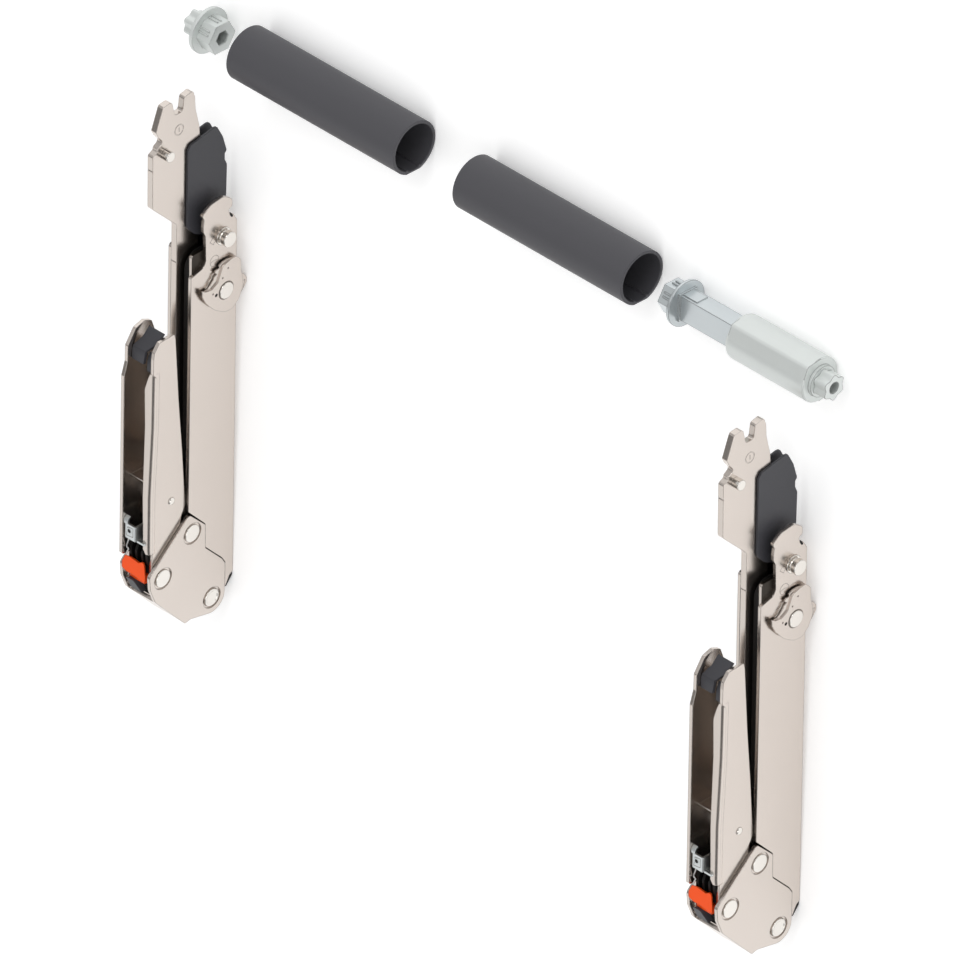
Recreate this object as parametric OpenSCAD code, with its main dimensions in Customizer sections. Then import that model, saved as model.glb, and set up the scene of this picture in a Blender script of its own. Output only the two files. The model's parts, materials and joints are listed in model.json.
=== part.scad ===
// Pair of folded lever arms for a lift-up cabinet door, with the cross rod that joins them.
// Each arm lies on its back: x runs across the arm, y along it and z up from the table.
// An outline is drawn in the arm's own plane, as [distance along the arm, height above its back].

/* [Arm] */
// Width over the two side plates of the joint head
head_w = 14.8; // [14.4:0.1:17]
// Thickness of the plated sheet
sheet_t = 1.4; // [1.1:0.1:1.5]
// Distance from the drive pivot to the rounded top of the arm
arm_len = 165.3; // [160:0.1:190]
// Depth of the arm from its back to its front edge
arm_depth = 22; // [21:0.1:22.2]
// Height of the drive pivot above the back of the arm
drive_h = 10.4; // [10:0.1:10.8]
// Distance from the rounded top of the arm back to the cam pin
cam_from_top = 37.5; // [36:0.1:42]
// Height of the cam pin and the hook pin above the back
pin_h = 7.1; // [6.8:0.1:7.6]
// Distance from the cam pin to the hook pin
hook_pitch = 21.5; // [20.5:0.1:22]
// Diameter of the hook pin
hook_pin_d = 5.9; // [5:0.1:6.4]
// How far the hook pin stands out of the side plate
hook_pin_out = 3.6; // [3:0.1:5]
// Diameter of the cam pin
cam_pin_d = 6.4; // [5.4:0.1:6.8]

/* [Joint head] */
// Distance along the arm from the drive pivot to the link pivot
link_at = 31.5; // [31:0.1:33]
// Height of the link pivot above the back
link_h = 20.2; // [20:0.1:20.6]
// Distance along the arm from the drive pivot to the lever pin
lever_at = 19.3; // [18.8:0.1:20]
// Height of the lever pin above the back
lever_h = 34.3; // [34:0.1:34.8]
// Diameter of the pivot heads
pivot_d = 6.8; // [6:0.1:7.2]
// Diameter of the round recess about each pivot head
recess_d = 8.4; // [8:0.1:8.8]
// Diameter of the round stems inside the pivots
stem_d = 4; // [3:0.1:4.6]

/* [Control link] */
// Thickness of the link
link_t = 2.6; // [2:0.1:3]
// How far the hooked end of the link reaches past the top of the arm
link_reach = 45.7; // [44:0.1:56]
// Diameter of the stud on the link
stud_d = 4; // [3:0.1:4.6]
// How far the stud stands out of the link
stud_out = 3.1; // [2:0.1:4]

/* [Door bracket] */
// Distance along the arm from the drive pivot to the top of the bracket
bracket_top = 117.7; // [112:0.1:124]
// Height of the bracket's near front edge above the back of the arm
bracket_h = 40.1; // [40:0.1:41]
// How much higher the far wall stands than the near wall
far_rise = 2.4; // [1.5:0.1:3]
// Width of the lip folded in along the near wall
lip_w = 3.9; // [2.5:0.1:4]

/* [Release catch] */
// Thickness of the release tab
tab_t = 1.5; // [1.2:0.1:1.6]
// Diameter of the spring wire
wire_d = 0.7; // [0.6:0.1:0.8]

/* [Lock cam] */
// Thickness of the lock cam
cam_t = 1.2; // [1:0.1:1.6]
// Thickness of the spring washer under the cam
washer_t = 0.5; // [0.4:0.1:0.8]
// Radius of the cam's round back
cam_r = 8.9; // [8.4:0.1:9]
// Reach of the cam's long lobe
lobe_r = 12.8; // [12:0.1:13.4]

/* [Cross rod] */
// Outer diameter of the rod
rod_d = 20.5; // [19:0.1:22]
// Wall of the rod
rod_wall = 1.2; // [1:0.1:1.4]
// Length of each length of rod
rod_len = 81; // [60:1:100]
// Gap between the two lengths of rod
rod_gap = 28.6; // [20:0.1:40]
// Gap between the plug and the first length of rod
plug_gap = 13.6; // [10:0.1:20]
// Gap between the second length of rod and the coupler
coupler_gap = 12.5; // [10:0.1:20]
// Radius of the star lobes
star_r = 5; // [4.8:0.05:5.1]
// Depth of the grooves between the star lobes
star_groove = 1; // [0.6:0.05:1.2]
// Length of the star
star_len = 6.7; // [5:0.1:7]
// Diameter of the flanges
flange_d = 17.5; // [17:0.1:17.9]
// Radius to the corners of the hexagons
hex_r = 6.5; // [6:0.1:7]
// Length of the hexagons
hex_len = 6.1; // [5:0.1:8]
// Diameter of the bore through the coupler's star
coupler_bore = 4.4; // [3.5:0.1:4.8]
// Length of the coupler's sleeve
sleeve_len = 38; // [36:0.5:50]
// Length of the coupler's shaft that shows
shaft_shown = 25.9; // [25.9:0.1:34]
// Travel of the sleeve along the shaft
sleeve_travel = 18; // [10:0.5:18]
// Outer diameter of the coil spring in the sleeve
coil_d = 5.4; // [4.9:0.1:5.6]
// Number of turns of the coil spring
coil_turns = 9; // [6:1:10]

/* [Layout] */
// Distance between the middles of the two arms
arm_pitch = 275.5; // [200:0.5:400]
// Distance from the drive pivots to the axis of the rod
rod_at = 226.5; // [226:0.1:260]
// Distance from the left arm's middle to the end of the plug's star, towards the left
plug_left = 14.1; // [0:0.1:60]

/* [Hidden] */
// Gap between flat faces that slide on each other, and round a shaft that turns in a hole
slip = 0.1;
turn_gap = 0.05;
// Clear distance between moving outlines
clear = 0.3;
// The arm's side plates sit this far inside the head's side plates
shell_inset = 0.3;
half_head = head_w / 2;
half_shell = half_head - shell_inset;
half_frame = half_shell - sheet_t;
half_liner = half_frame - sheet_t;
half_bracket = half_head - sheet_t - slip;
bracket_in = half_bracket - sheet_t;
half_link = link_t / 2;
liner_in = half_link + 1;
cheek_in = half_link + 0.15;
cheek_t = 0.8;
cheek_out = cheek_in + cheek_t;
near_face = half_shell;
cam_at = arm_len - cam_from_top;
hook_at = cam_at + hook_pitch;
link_tip = arm_len + link_reach;
drive_pt = [0, drive_h];
link_pt = [link_at, link_h];
lever_pt = [lever_at, lever_h];
cam_pt = [cam_at, pin_h];
hook_pt = [hook_at, pin_h];
wall_rivet_pt = [48.6, 29.2];
link_foot_r = 4.6;
heel_at = 6;
// The lowest point of the cam, and the lean that lets the heel and the rod rest on the table
cam_low = 10.9;
cam_lift = 0.25;
lean = atan((cam_low - pin_h + cam_lift) / (cam_at - heel_at));
rod_r = rod_d / 2;
bore_r = rod_r - rod_wall;
flange_t = 1.6;
recess_depth = 0.6;
pin_proud = 0.25;
$fn = 48;
nickel = [0.80, 0.76, 0.73];
black_plastic = [0.17, 0.17, 0.19];
dark_plastic = [0.28, 0.28, 0.31];
zinc = [0.76, 0.79, 0.78];
orange = [0.98, 0.32, 0.09];
rod_colour = [0.30, 0.30, 0.32];

// A point on a circle about c
function polar(c, r, a) = [c[0] + r * cos(a), c[1] + r * sin(a)];
// Points along an arc from angle a0 to a1
function arc(c, r, a0, a1, n = 8) = [for (i = [0 : n]) polar(c, r, a0 + (a1 - a0) * i / n)];
// An outline whose corners [along, height, radius] are rounded
function unit(v) = v / norm(v);
function wrap(a) = a > 180 ? a - 360 : a < -180 ? a + 360 : a;
function corner(p, q, s, n) =
  let (r = q[2], u = unit([p[0] - q[0], p[1] - q[1]]), v = unit([s[0] - q[0], s[1] - q[1]]),
       half = acos(max(-1, min(1, u * v))) / 2, at = [q[0], q[1]],
       c = at + unit(u + v) * r / sin(half), e0 = at + u * r / tan(half) - c, e1 = at + v * r / tan(half) - c,
       a0 = atan2(e0[1], e0[0]), turn = wrap(atan2(e1[1], e1[0]) - a0))
  r == 0 ? [at] : arc(c, r, a0, a0 + turn, n);
function rounded(p, n = 4) =
  [for (i = [0 : len(p) - 1])
    each corner(p[(i + len(p) - 1) % len(p)], p[i], p[(i + 1) % len(p)], n)];
// The star of the cross rod, grown by a gap
function star(gap = 0) =
  [for (i = [0 : 71]) polar([0, 0], star_r - star_groove / 2 + gap + star_groove / 2 * cos(30 * i), 5 * i)];

// A flat blank in the arm's plane, from x to x + t
module blank(x, t) translate([x, 0, 0]) rotate([90, 0, 90]) linear_extrude(t) children();
// The same blank on both sides, with its outer face at x
module both_sides(x, t) {
  blank(x - t, t) children();
  blank(-x, t) children();
}
module hole_at(p, d) translate(p) circle(d = d);
// A round piece along x at a point of the arm's plane
module along_x(p, x0, x1, d) translate([x0, p[0], p[1]]) rotate([0, 90, 0]) cylinder(d = d, h = x1 - x0);
module strip(x0, x1, p) blank(x0, x1 - x0) polygon(p);

// Outline of the joint head's side plates
head_front = [10.8, 37.9];
head_foot = [-4.9, 23.3];
head_eye_r = 6.3;
head_outline = rounded([
  [head_foot[0], head_foot[1], 1], [-4.3, 20.6, 1],
  each [for (p = arc(drive_pt, head_eye_r, 172, 270, 14)) [p[0], p[1], 0]],
  [11.6, drive_h - head_eye_r, 1.2], [14, 5.6, 0.6], [22.4, 13.8, 1],
  [link_at + 0.8, 14, 1.5], [link_at + 8.3, 21.7, 1.2],
  [lever_at + 3.1, lever_h + 6.5, 2.5], [lever_at - 2.5, lever_h + 6, 2.5],
    [head_front[0], head_front[1], 1.5]], 6);
module head_plate() {
  difference() {
    polygon(head_outline);
    hole_at(drive_pt, pivot_d + 2 * turn_gap);
    hole_at(link_pt, stem_d);
    hole_at(lever_pt, stem_d);
  }
}
// The fold that joins the two side plates along the slanted foot
fold_dir = unit(head_front - head_foot);
fold_in = [fold_dir[1], -fold_dir[0]];
module head_fold() {
  a = head_foot + fold_dir * 1.2;
  b = head_front - fold_dir * 0.9;
  inner = half_head - sheet_t / 2;
  strip(-inner, inner, [a, b, b + fold_in * sheet_t, a + fold_in * sheet_t]);
}
module recess_ring(p, x) {
  along_x(p, x, x + recess_depth + 1, recess_d);
  along_x(p, -x - recess_depth - 1, -x, recess_d);
}
module joint_head() {
  color(nickel) difference() {
    union() {
      both_sides(half_head, sheet_t) head_plate();
      head_fold();
    }
    recess_ring(drive_pt, half_head - recess_depth);
    recess_ring(link_pt, half_head - recess_depth);
    recess_ring(lever_pt, half_head - recess_depth);
  }
}
// A pin through the head, with a wider end in each recess
module head_pin(p, stem) {
  floor_x = half_head - recess_depth;
  union() {
    along_x(p, -floor_x, floor_x, stem);
    along_x(p, floor_x, half_head + pin_proud, pivot_d);
    along_x(p, -half_head - pin_proud, -floor_x, pivot_d);
  }
}
module link_rivet() color(nickel) head_pin(link_pt, stem_d);
module lever_pin() color(nickel) head_pin(lever_pt, stem_d);

// The large rivet that the head turns on, fixed in the arm's frame
module drive_rivet() {
  color(nickel) union() {
    along_x(drive_pt, -half_head - pin_proud, half_head + pin_proud, pivot_d);
    along_x(drive_pt, -half_liner, half_liner, pivot_d + 3.4);
  }
}

// Outer channel of the arm
shell_front = arm_depth;
neck_front = 16.2;
shoulder_at = arm_len - 26.9;
// The far side plate is lower than the near one
far_edge = arm_depth - 3.4;
shell_foot = [[heel_at + 0.2, 0, 0.3], [heel_at - 0.9, 1.6, 0.3], [1.2, 3.6, 0], [2, 4.1 - clear, 0]];
head_gap_line = [[11.7, 4.1 - clear, 0], [14.2, 5.35, 0.5], [22.5, 13.8 - clear, 0.5],
  [link_at + 0.9, 14 - clear, 1], [link_at + 9.6, shell_front, 1]];
shell_outline = rounded(concat(shell_foot, head_gap_line, [
  [shoulder_at, shell_front, 0.6], [shoulder_at + 1.7, 16, 1.5], [shoulder_at + 3.6, 14.9, 1.2],
  [arm_len - 12.6, 15.2, 0.4], [arm_len - 10.6, neck_front, 0.8], [arm_len - 8.4, neck_front + 0.1, 0.6],
  [arm_len - 5.4, 15.9, 0.8], [arm_len - 3.6, neck_front + 0.9, 1.2], [arm_len - 0.6, 12.6, 3],
    [arm_len + 0.1, 6.4, 3],
  [arm_len - 2.6, 2.4, 2], [arm_len - 5.6, 2.4, 0.6], [arm_len - 6.6, 4.1, 0.5],
  [arm_len - 8.9, 3.6, 0.4], [arm_len - 9.2, 1.9, 0.5], [arm_len - 12.4, 0, 1]]), 5);
module shell_plate() {
  difference() {
    polygon(shell_outline);
    hole_at(cam_pt, stem_d);
    hole_at(hook_pt, stem_d);
  }
}
module arm_shell() {
  color(nickel) union() {
    blank(half_shell - sheet_t, sheet_t) shell_plate();
    blank(-half_shell, sheet_t) intersection() {
      shell_plate();
      square([2 * arm_len, far_edge]);
    }
    strip(-half_shell + sheet_t / 2, half_shell - sheet_t / 2,
      [[heel_at, 0], [arm_len - 14, 0], [arm_len - 14, sheet_t], [heel_at, sheet_t]]);
  }
}
// Inner channel of the arm, which carries the drive pivot
frame_top = arm_len - 20.5;
frame_front = arm_depth - 1.6;
eye_r = 6.1;
frame_back = sheet_t;
frame_outline = concat(
  arc(drive_pt, eye_r, 270, 100, 16),
  rounded([[22, link_h - 5.3, 0], [link_at + 3.5, link_h - 5.3, 1], [link_at + 11.5, frame_front, 1],
    [frame_top, frame_front, 5.5], [frame_top, frame_back, 0], [heel_at + 3, frame_back, 0]], 5));
module frame_plate() {
  difference() {
    polygon(frame_outline);
    hole_at(drive_pt, pivot_d);
    hole_at(cam_pt, stem_d);
  }
}
module arm_frame() {
  color(nickel) union() {
    both_sides(half_frame, sheet_t) frame_plate();
    strip(-half_frame + sheet_t / 2, half_frame - sheet_t / 2,
      [[link_at, frame_back], [frame_top, frame_back], [frame_top, frame_back + 1],
        [link_at, frame_back + 1]]);
  }
}
// Black runners that guide the link inside the channel
liner_back = frame_back + 1;
liner_front = frame_front + 0.2;
liner_at = frame_top - 84.8;
liner_outline = rounded([[liner_at, liner_back, 1], [liner_at, liner_front, 2],
  [frame_top + 0.8, liner_front, 6], [frame_top + 0.8, liner_back, 1]], 6);
module glide_liner() {
  color(black_plastic) difference() {
    union() {
      both_sides(half_liner, half_liner - liner_in) polygon(liner_outline);
      strip(-half_liner, half_liner, [[liner_at, liner_back], [frame_top, liner_back],
        [frame_top, liner_back + 1.2], [liner_at, liner_back + 1.2]]);
    }
    along_x(cam_pt, -half_head, half_head, stem_d);
  }
}
// Two thin guide plates that take the hooked end of the link between them
cheek_front = 19.4;
cheek_outline = rounded([[hook_at - 3.8, 2.8, 1.5], [hook_at + 12, 0.6, 0.5], [arm_len + 8.6, 0.4, 0.6],
  [arm_len + 11.2, 1.5, 1], [arm_len + 13.6, 1.5, 0.8], [arm_len + 14.6, 0.6, 1], [arm_len + 21.2, 2.6, 3],
  [arm_len + 26.4, 5.4, 1], [arm_len + 26.6, 6.8, 0.8], [arm_len + 24.6, 18, 1.5],
    [arm_len + 22.6, cheek_front, 1],
  [hook_at + 6.2, cheek_front, 3.5], [hook_at + 0.5, 15, 3.5], [hook_at - 3.7, 10.2, 1]], 5);
module guide_cheeks() {
  color(dark_plastic) difference() {
    union() {
      both_sides(cheek_out, cheek_t) difference() {
        polygon(cheek_outline);
        hole_at(hook_pt, stem_d);
      }
      strip(-cheek_in - cheek_t / 2, cheek_in + cheek_t / 2, spine_outline);
      both_sides(half_frame, half_frame - cheek_out + slip / 2) polygon(boss_outline);
    }
    along_x(hook_pt, -half_head, half_head, stem_d);
  }
}
spine_outline = rounded([[hook_at - 3.6, 3.4, 0.5], [hook_at + 20, 1.6, 0.5], [hook_at + 20, 7.5, 2],
  [hook_at - 3.6, 10.4, 0.5]]);
boss_outline = arc(hook_pt, 3.4, 0, 360, 32);
// Black plug that closes the lower corner of the channel
bumper_foot = sheet_t + slip;
bumper_outline = rounded([[heel_at - 0.1, 0.3, 0], [heel_at - 0.1, bumper_foot, 0],
  [heel_at + 14, bumper_foot, 0], [heel_at + 14, 3.9, 0.5], [9, 4.1, 0.6], [1.8, 3.3, 0.4]]);
// The part that shows fills the cut corner of the channel up to its outer faces
heel_fill = [[heel_at - 0.1, 0.15], [heel_at - 1.2, 1.5], [1.25, 3.4], [0.9, 3.1], [heel_at - 1.4, 0.1]];
module end_bumper() {
  color(black_plastic) union() {
    strip(-half_liner, half_liner, bumper_outline);
    strip(-half_shell + slip, half_shell - slip, heel_fill);
  }
}

// Hooked pin that the lift unit's lever drops onto
module hook_pin() {
  color(nickel) union() {
    along_x(hook_pt, -near_face, near_face, stem_d);
    along_x(hook_pt, near_face, near_face + 0.5, hook_pin_d + 1);
    along_x(hook_pt, near_face + 0.5, near_face + 1.5, hook_pin_d - 1.4);
    along_x(hook_pt, near_face + 1.5, near_face + hook_pin_out, hook_pin_d);
    along_x(hook_pt, -near_face - 0.5, -near_face, hook_pin_d);
  }
}
cam_face = near_face + washer_t + slip + cam_t;
module cam_pin() {
  color(nickel) union() {
    along_x(cam_pt, -near_face, cam_face + slip, stem_d);
    along_x(cam_pt, cam_face + slip / 2, cam_face + slip / 2 + 0.5, cam_pin_d);
    along_x(cam_pt, -near_face - 0.5, -near_face, cam_pin_d);
  }
}
module cam_washer() {
  color(nickel) blank(near_face, washer_t) difference() {
    translate(cam_pt) rotate(0) polygon(rounded([[-8.2, 0, 3], [-6, 8, 1], [3.6, 11.8, 1],
      [5.4, 10, 1], [7, 2, 3], [4, -6, 3], [-3, -6.6, 3]], 6));
    hole_at(cam_pt, stem_d);
  }
}
// The lock cam: a round back, a toothed notch, a long lobe and a short lobe
cam_outline = concat(
  arc([0, 0], cam_r, 114, 256, 16),
  rounded([[-1.8, -10.2, 0], [0.5, -cam_low, 0.5], [2.4, -9.2, 0.4], [3.4, -7.9, 0.4], [9.4, -7.6, 0]]),
  arc([0, 0], lobe_r, -22, 12, 6),
  rounded([[11.2, 3.8, 0], [8.4, 5.6, 0.3], [7.8, 4.9, 0.2], [5.4, 6.6, 0.2], [6.1, 7.9, 0.3],
    [4.6, 8.8, 0.2],
    [3.9, 7.7, 0.2], [2.8, 8.2, 0.3], [4.6, 11.2, 0.3], [2.2, 11.4, 0.5], [-2, 8.9, 0]]));
module lock_cam() {
  color(nickel) translate([near_face + washer_t + slip / 2, 0, 0]) difference() {
    blank(0, cam_t) translate(cam_pt) difference() {
      polygon(cam_outline);
      circle(d = stem_d + 2 * turn_gap);
      translate([-0.3, 4.6]) circle(d = 1.3);
    }
    blank(cam_t - 0.25, 1) translate(cam_pt) arrow_mark();
  }
}
// An outlined arrow, sunk into the cam's long lobe
module arrow_mark() {
  translate([0.6, -8.6]) rotate(12) difference() {
    polygon([[-2.1, -0.5], [0.4, -0.5], [0.4, -1.2], [2, 0], [0.4, 1.2], [0.4, 0.5], [-2.1, 0.5]]);
    polygon([[-1.8, -0.25], [0.65, -0.25], [0.65, -0.6], [1.5, 0], [0.65, 0.6], [0.65, 0.25],
      [-1.8, 0.25]]);
  }
}

// Door bracket: two unequal walls, a folded back and a lip along the near wall
near_front = bracket_h;
far_front = bracket_h + far_rise;
wall_foot = [[7.5, 31.2, 2], [12, 36.6, 1], [19, near_front, 1.5]];
wall_back = [[bracket_top - 2.4, 28, 0.4], [89.4, 26.2, 0], [67.6, 24.2, 0], [44, 22.4, 0.5], [40, 24.4, 1],
  [27, 26, 1], [13, 25.6, 2]];
near_wall = rounded(concat(wall_foot, [[31, near_front, 0], [54.4, near_front, 0],
  [82.8, near_front - 1.3, 0],
  [bracket_top - 6.2, near_front - 1.5, 1], [bracket_top - 3.4, near_front - 2, 1],
    [bracket_top - 0.2, 35.7, 1], [bracket_top + 0.2, 28.6, 0.4]], wall_back));
// The far wall is cut down where the release lever lies over it
notch_h = lever_h + 4.7;
far_wall = rounded(concat([[7.5, 31.2, 2], [12, 36.6, 1], [17.4, notch_h, 1], [lever_at + 8, notch_h, 0.4],
  [lever_at + 8.2, far_front, 0.8]], [[101.8, far_front, 0.8],
    [bracket_top - 10.5, far_front - 1.6, 0.6], [bracket_top - 4.1, far_front - 1.7, 1],
  [bracket_top + 1.6, 37, 1.2], [bracket_top + 2.9, 32.8, 1.4],
    [bracket_top + 1.4, 29.4, 0.6]], wall_back));
back_fold = [[46, 24.4], [67.6, 26], [89.4, 28], [bracket_top - 6, 30.2], [bracket_top - 6, 31.4],
  [89.4, 29.2], [67.6, 27.2], [46, 25.6]];
module wall_holes() {
  hole_at(lever_pt, stem_d);
  hole_at(wall_rivet_pt, 2);
}
module door_bracket() {
  color(nickel) union() {
    blank(half_bracket - sheet_t, sheet_t) difference() {
      polygon(near_wall);
      wall_holes();
    }
    blank(-half_bracket, sheet_t) difference() {
      polygon(far_wall);
      wall_holes();
    }
    strip(-half_bracket + sheet_t / 2, half_bracket - sheet_t / 2, back_fold);
    near_lip();
    bracket_step();
  }
}
// The lip widens from the catch towards the top of the bracket
module near_lip() {
  outer = half_bracket - sheet_t / 2;
  a = [half_bracket - 2.8, 32];
  b = [half_bracket - lip_w - 0.4, bracket_top - 20];
  intersection() {
    translate([0, 0, near_front - 4]) linear_extrude(6)
      polygon([[outer, a[1]], [outer, bracket_top - 13], [b[0] + 1.6, bracket_top - 14], b, a]);
    strip(-half_bracket, half_bracket, [[31, near_front - 1], [31, near_front], [54.4, near_front],
      [82.8, near_front - 1.3], [bracket_top - 12, near_front - 1.5], [bracket_top - 12, near_front - 2.5],
      [82.8, near_front - 2.3], [54.4, near_front - 1]]);
  }
}
// A small stop pressed out of the far wall
module bracket_step() {
  strip(-bracket_in - 0.3, -bracket_in + 4, rounded([[57.6, 34, 0.3], [57.6, 38.4, 0.3],
    [60.2, 38.9, 0.3], [60.2, 34, 0.3]]));
}
module wall_rivets() {
  color(nickel) for (side = [0, 1]) mirror([side, 0, 0]) union() {
    along_x(wall_rivet_pt, bracket_in - 0.5, half_bracket, 2);
    along_x(wall_rivet_pt, half_bracket, half_bracket + 0.7, 3);
  }
}

// Bent clip across the top of the bracket
clip_outline = rounded([[bracket_top + 0.7, 31.4, 0.3], [bracket_top + 0.7, 32.6, 0.3],
  [bracket_top - 3.5, 35.4, 0.8],
  [bracket_top - 5.4, 40.2, 0.4], [bracket_top - 6.6, 40.2, 0.4], [bracket_top - 8.6, 37.4, 0.5],
  [bracket_top - 7.6, 36, 0.5], [bracket_top - 6.2, 37.6, 0.8], [bracket_top - 4.8, 34.2, 0.8]]);
module snap_clip() {
  color(dark_plastic) union() {
    strip(-bracket_in + 0.4, bracket_in - 0.9, clip_outline);
    strip(-bracket_in, bracket_in, rounded([[bracket_top - 4.4, 30.6, 0.5], [bracket_top + 0.4, 30.8, 0.5],
      [bracket_top + 0.4, 32.2, 0.5], [bracket_top - 4.2, 34.8, 0.5]]));
  }
}
// Pressed plate with a round hole that holds the spring
plate_face = 41.2;
plate_w = 5.4;
module catch_plate() {
  x0 = -bracket_in;
  wall_x = x0 + plate_w - 1;
  color(zinc) difference() {
    union() {
      strip(x0, x0 + plate_w, rounded([[34.4, plate_face - 1, 0], [34.4, plate_face, 0.3],
        [41.2, plate_face, 0.3], [41.2, plate_face - 1, 0]]));
      strip(x0, x0 + 2, rounded([[40.6, plate_face - 0.9, 0], [40.6, plate_face - 0.1, 0],
        [43.4, plate_face + 0.6, 0.4], [43.4, plate_face - 0.6, 0.4]]));
      strip(wall_x, x0 + plate_w, [[34.4, 29], [34.4, plate_face - 0.5], [41.2, plate_face - 0.5], [41.2, 29]]);
      strip(wall_x + 0.5, bracket_in, [[34.8, 36.6], [34.8, 38.9], [35.8, 38.9], [35.8, 36.6]]);
      strip(x0, wall_x + 0.5, [[34.8, 29], [40.8, 29], [40.8, 30], [34.8, 30]]);
    }
    translate([x0 + 2.7, 38, plate_face - 2]) cylinder(d = 1.5, h = 4);
  }
}
// Moulded block with ribs that fills the bottom of the bracket
module catch_housing() {
  color(black_plastic) difference() {
    union() {
      strip(-bracket_in, bracket_in, rounded([[27.5, 27, 0.8], [33.8, 27, 0.8], [33.8, 35, 0.8],
        [27.5, 35, 0.8]]));
      for (x = [-bracket_in, -1.2, bracket_in - 1.4])
        strip(x, x + 1.4, rounded([[28, 34, 0.4], [33.4, 34, 0.4], [33.2, 37.6, 0.6], [28.4, 38.6, 0.6]]));
    }
    along_x(lever_pt, -half_head, half_head, 12);
  }
}
// Orange lever that turns on the lever pin
lever_hub_r = 3.6;
module release_lever() {
  half_hub = bracket_in - 0.25;
  color(orange) difference() {
    union() {
      along_x(lever_pt, -half_hub, half_hub, 2 * lever_hub_r);
      strip(-half_hub, half_hub, rounded([[lever_at - 1.5, lever_h + 1, 0],
        [lever_at + 3.2, lever_h + 1, 0],
        [lever_at + 5, tab_z - tab_t / 2, 0.2], [lever_at + 1.4, tab_z - tab_t / 2, 0.2]]));
      translate([0, lever_at, tab_z - tab_t]) linear_extrude(tab_t) polygon(tab_plan);
    }
    along_x(lever_pt, -half_head, half_head, stem_d + 2 * turn_gap);
  }
}
tab_z = lever_h + 6.4;
// Plan of the tab: it reaches over the far wall, and its top edge has a shallow step
tab_plan = rounded([[-half_bracket, 4.5, 0.8], [-half_bracket, 1.8, 0.8], [-4, 0.8, 0.5], [-0.8, 0.3, 0],
  [bracket_in - 0.2, -1.1, 0.6], [bracket_in - 0.2, 2, 0], [3.7, 6.9, 0.6], [2.7, 7.2, 0.4],
    [1.4, 6.3, 0.4], [-2.8, 7.5, 0.5], [-4.6, 7.3, 0.8]]);
// Dark jaw at the mouth of the bracket, behind the head's fold
jaw_outline = rounded([[lever_at - 9.7, lever_h - 0.4, 0.3], [lever_at - 7.3, lever_h + 1.9, 0.4],
  [lever_at - 6.9, lever_h + 3.9, 0.3], [lever_at - 3.6, lever_h + 4.2, 0.4],
    [lever_at - 3.9, lever_h + 2.1, 0.4],
  [lever_at - 5.3, lever_h - 1.3, 0.4], [lever_at - 7.3, lever_h - 1.3, 0.4]]);
module latch_jaw() {
  color(black_plastic) strip(-bracket_in, bracket_in, jaw_outline);
}

// One unbroken round wire along a list of points
function cross_unit(a, b) = unit(cross(a, b));
function tangent(p, i) = unit(p[min(i + 1, len(p) - 1)] - p[max(i - 1, 0)]);
module wire(p, d, side, sides = 6) {
  n = len(p);
  rings = [for (i = [0 : n - 1]) let (t = tangent(p, i), u = cross_unit(side, t), w = cross(t, u))
    for (k = [0 : sides - 1]) p[i] + d / 2 * (cos(360 * k / sides) * u + sin(360 * k / sides) * w)];
  walls = [for (i = [0 : n - 2]) for (k = [0 : sides - 1]) for (h = [0, 1])
    let (a = i * sides + k, b = i * sides + (k + 1) % sides)
    h == 0 ? [a, b, a + sides] : [b, b + sides, a + sides]];
  polyhedron(rings, concat([[for (k = [sides - 1 : -1 : 0]) k]], walls,
    [[for (k = [0 : sides - 1]) (n - 1) * sides + k]]));
}
// The lever's wire spring, bent in a zigzag from the pressed plate down to the lever
spring_x = -bracket_in + 1.4;
spring_bends = [[34.1, 40.3], [32.8, 40.6], [31.6, 39.7], [30.6, 40.6], [29.5, 39.9], [28.9, 38.9]];
module lever_spring() {
  color(nickel) wire([for (b = spring_bends) [spring_x, b[0], b[1]]], wire_d, [1, 0, 0]);
}

// Control link: one flat plate with a round foot and a hooked top
link_front = 23.5;
link_back = link_h - link_foot_r;
link_outline = concat(arc(link_pt, link_foot_r, 270, 150, 8), rounded([
  [link_at + 2, link_front, 0], [link_tip - 52.3, link_front, 2], [link_tip - 40.5, 35.35, 2],
  [link_tip - 18.8, 35.5, 1], [link_tip - 17.6, 33.2, 0.4], [link_tip - 16.5, 33.1, 0.5],
  [link_tip - 14.8, 30.5, 1.2], [link_tip - 11.6, 33, 0], [link_tip - 9.5, 34, 0.5],
    [link_tip - 0.4, 30.7, 1.3],
  [link_tip + 0.1, 26.5, 1.4], [link_tip - 6.3, 25, 1.3], [link_tip - 6.3, 21.2, 1.1],
    [link_tip - 0.9, 20.6, 1.1],
  [link_tip + 0.1, 16.3, 1.3], [link_tip - 3.2, 15.3, 0], [link_tip - 8.1, 15, 0.5],
    [link_tip - 15.7, 13.1, 0],
  [link_tip - 20.1, 12.7, 0], [link_tip - 79, 13.2, 1], [link_tip - 84, link_back, 0]], 5));
module control_link() {
  color(nickel) difference() {
    blank(-half_link, link_t) polygon(link_outline);
    along_x(link_pt, -half_head, half_head, stem_d + 2 * turn_gap);
    along_x(stud_pt, -half_head, half_head, stud_d - 0.8);
    score_line(link_tip - 25, 35.4);
    score_line(link_tip - 68.1, link_front);
    for (side = [0, 1]) mirror([side, 0, 0])
      blank(half_link - 0.15, 1) translate(mark_pt) round_mark();
  }
}
stud_pt = [link_tip - 20, 29.7];
mark_pt = [link_tip - 13.1, 22.9];
score_w = 0.3;
score_depth = 0.15;
// A shallow score across the link's front edge
module score_line(at, front) {
  strip(-half_head, half_head, [[at, front - score_depth], [at + score_w, front - score_depth],
    [at + score_w, front + 1], [at, front + 1]]);
}
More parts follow.
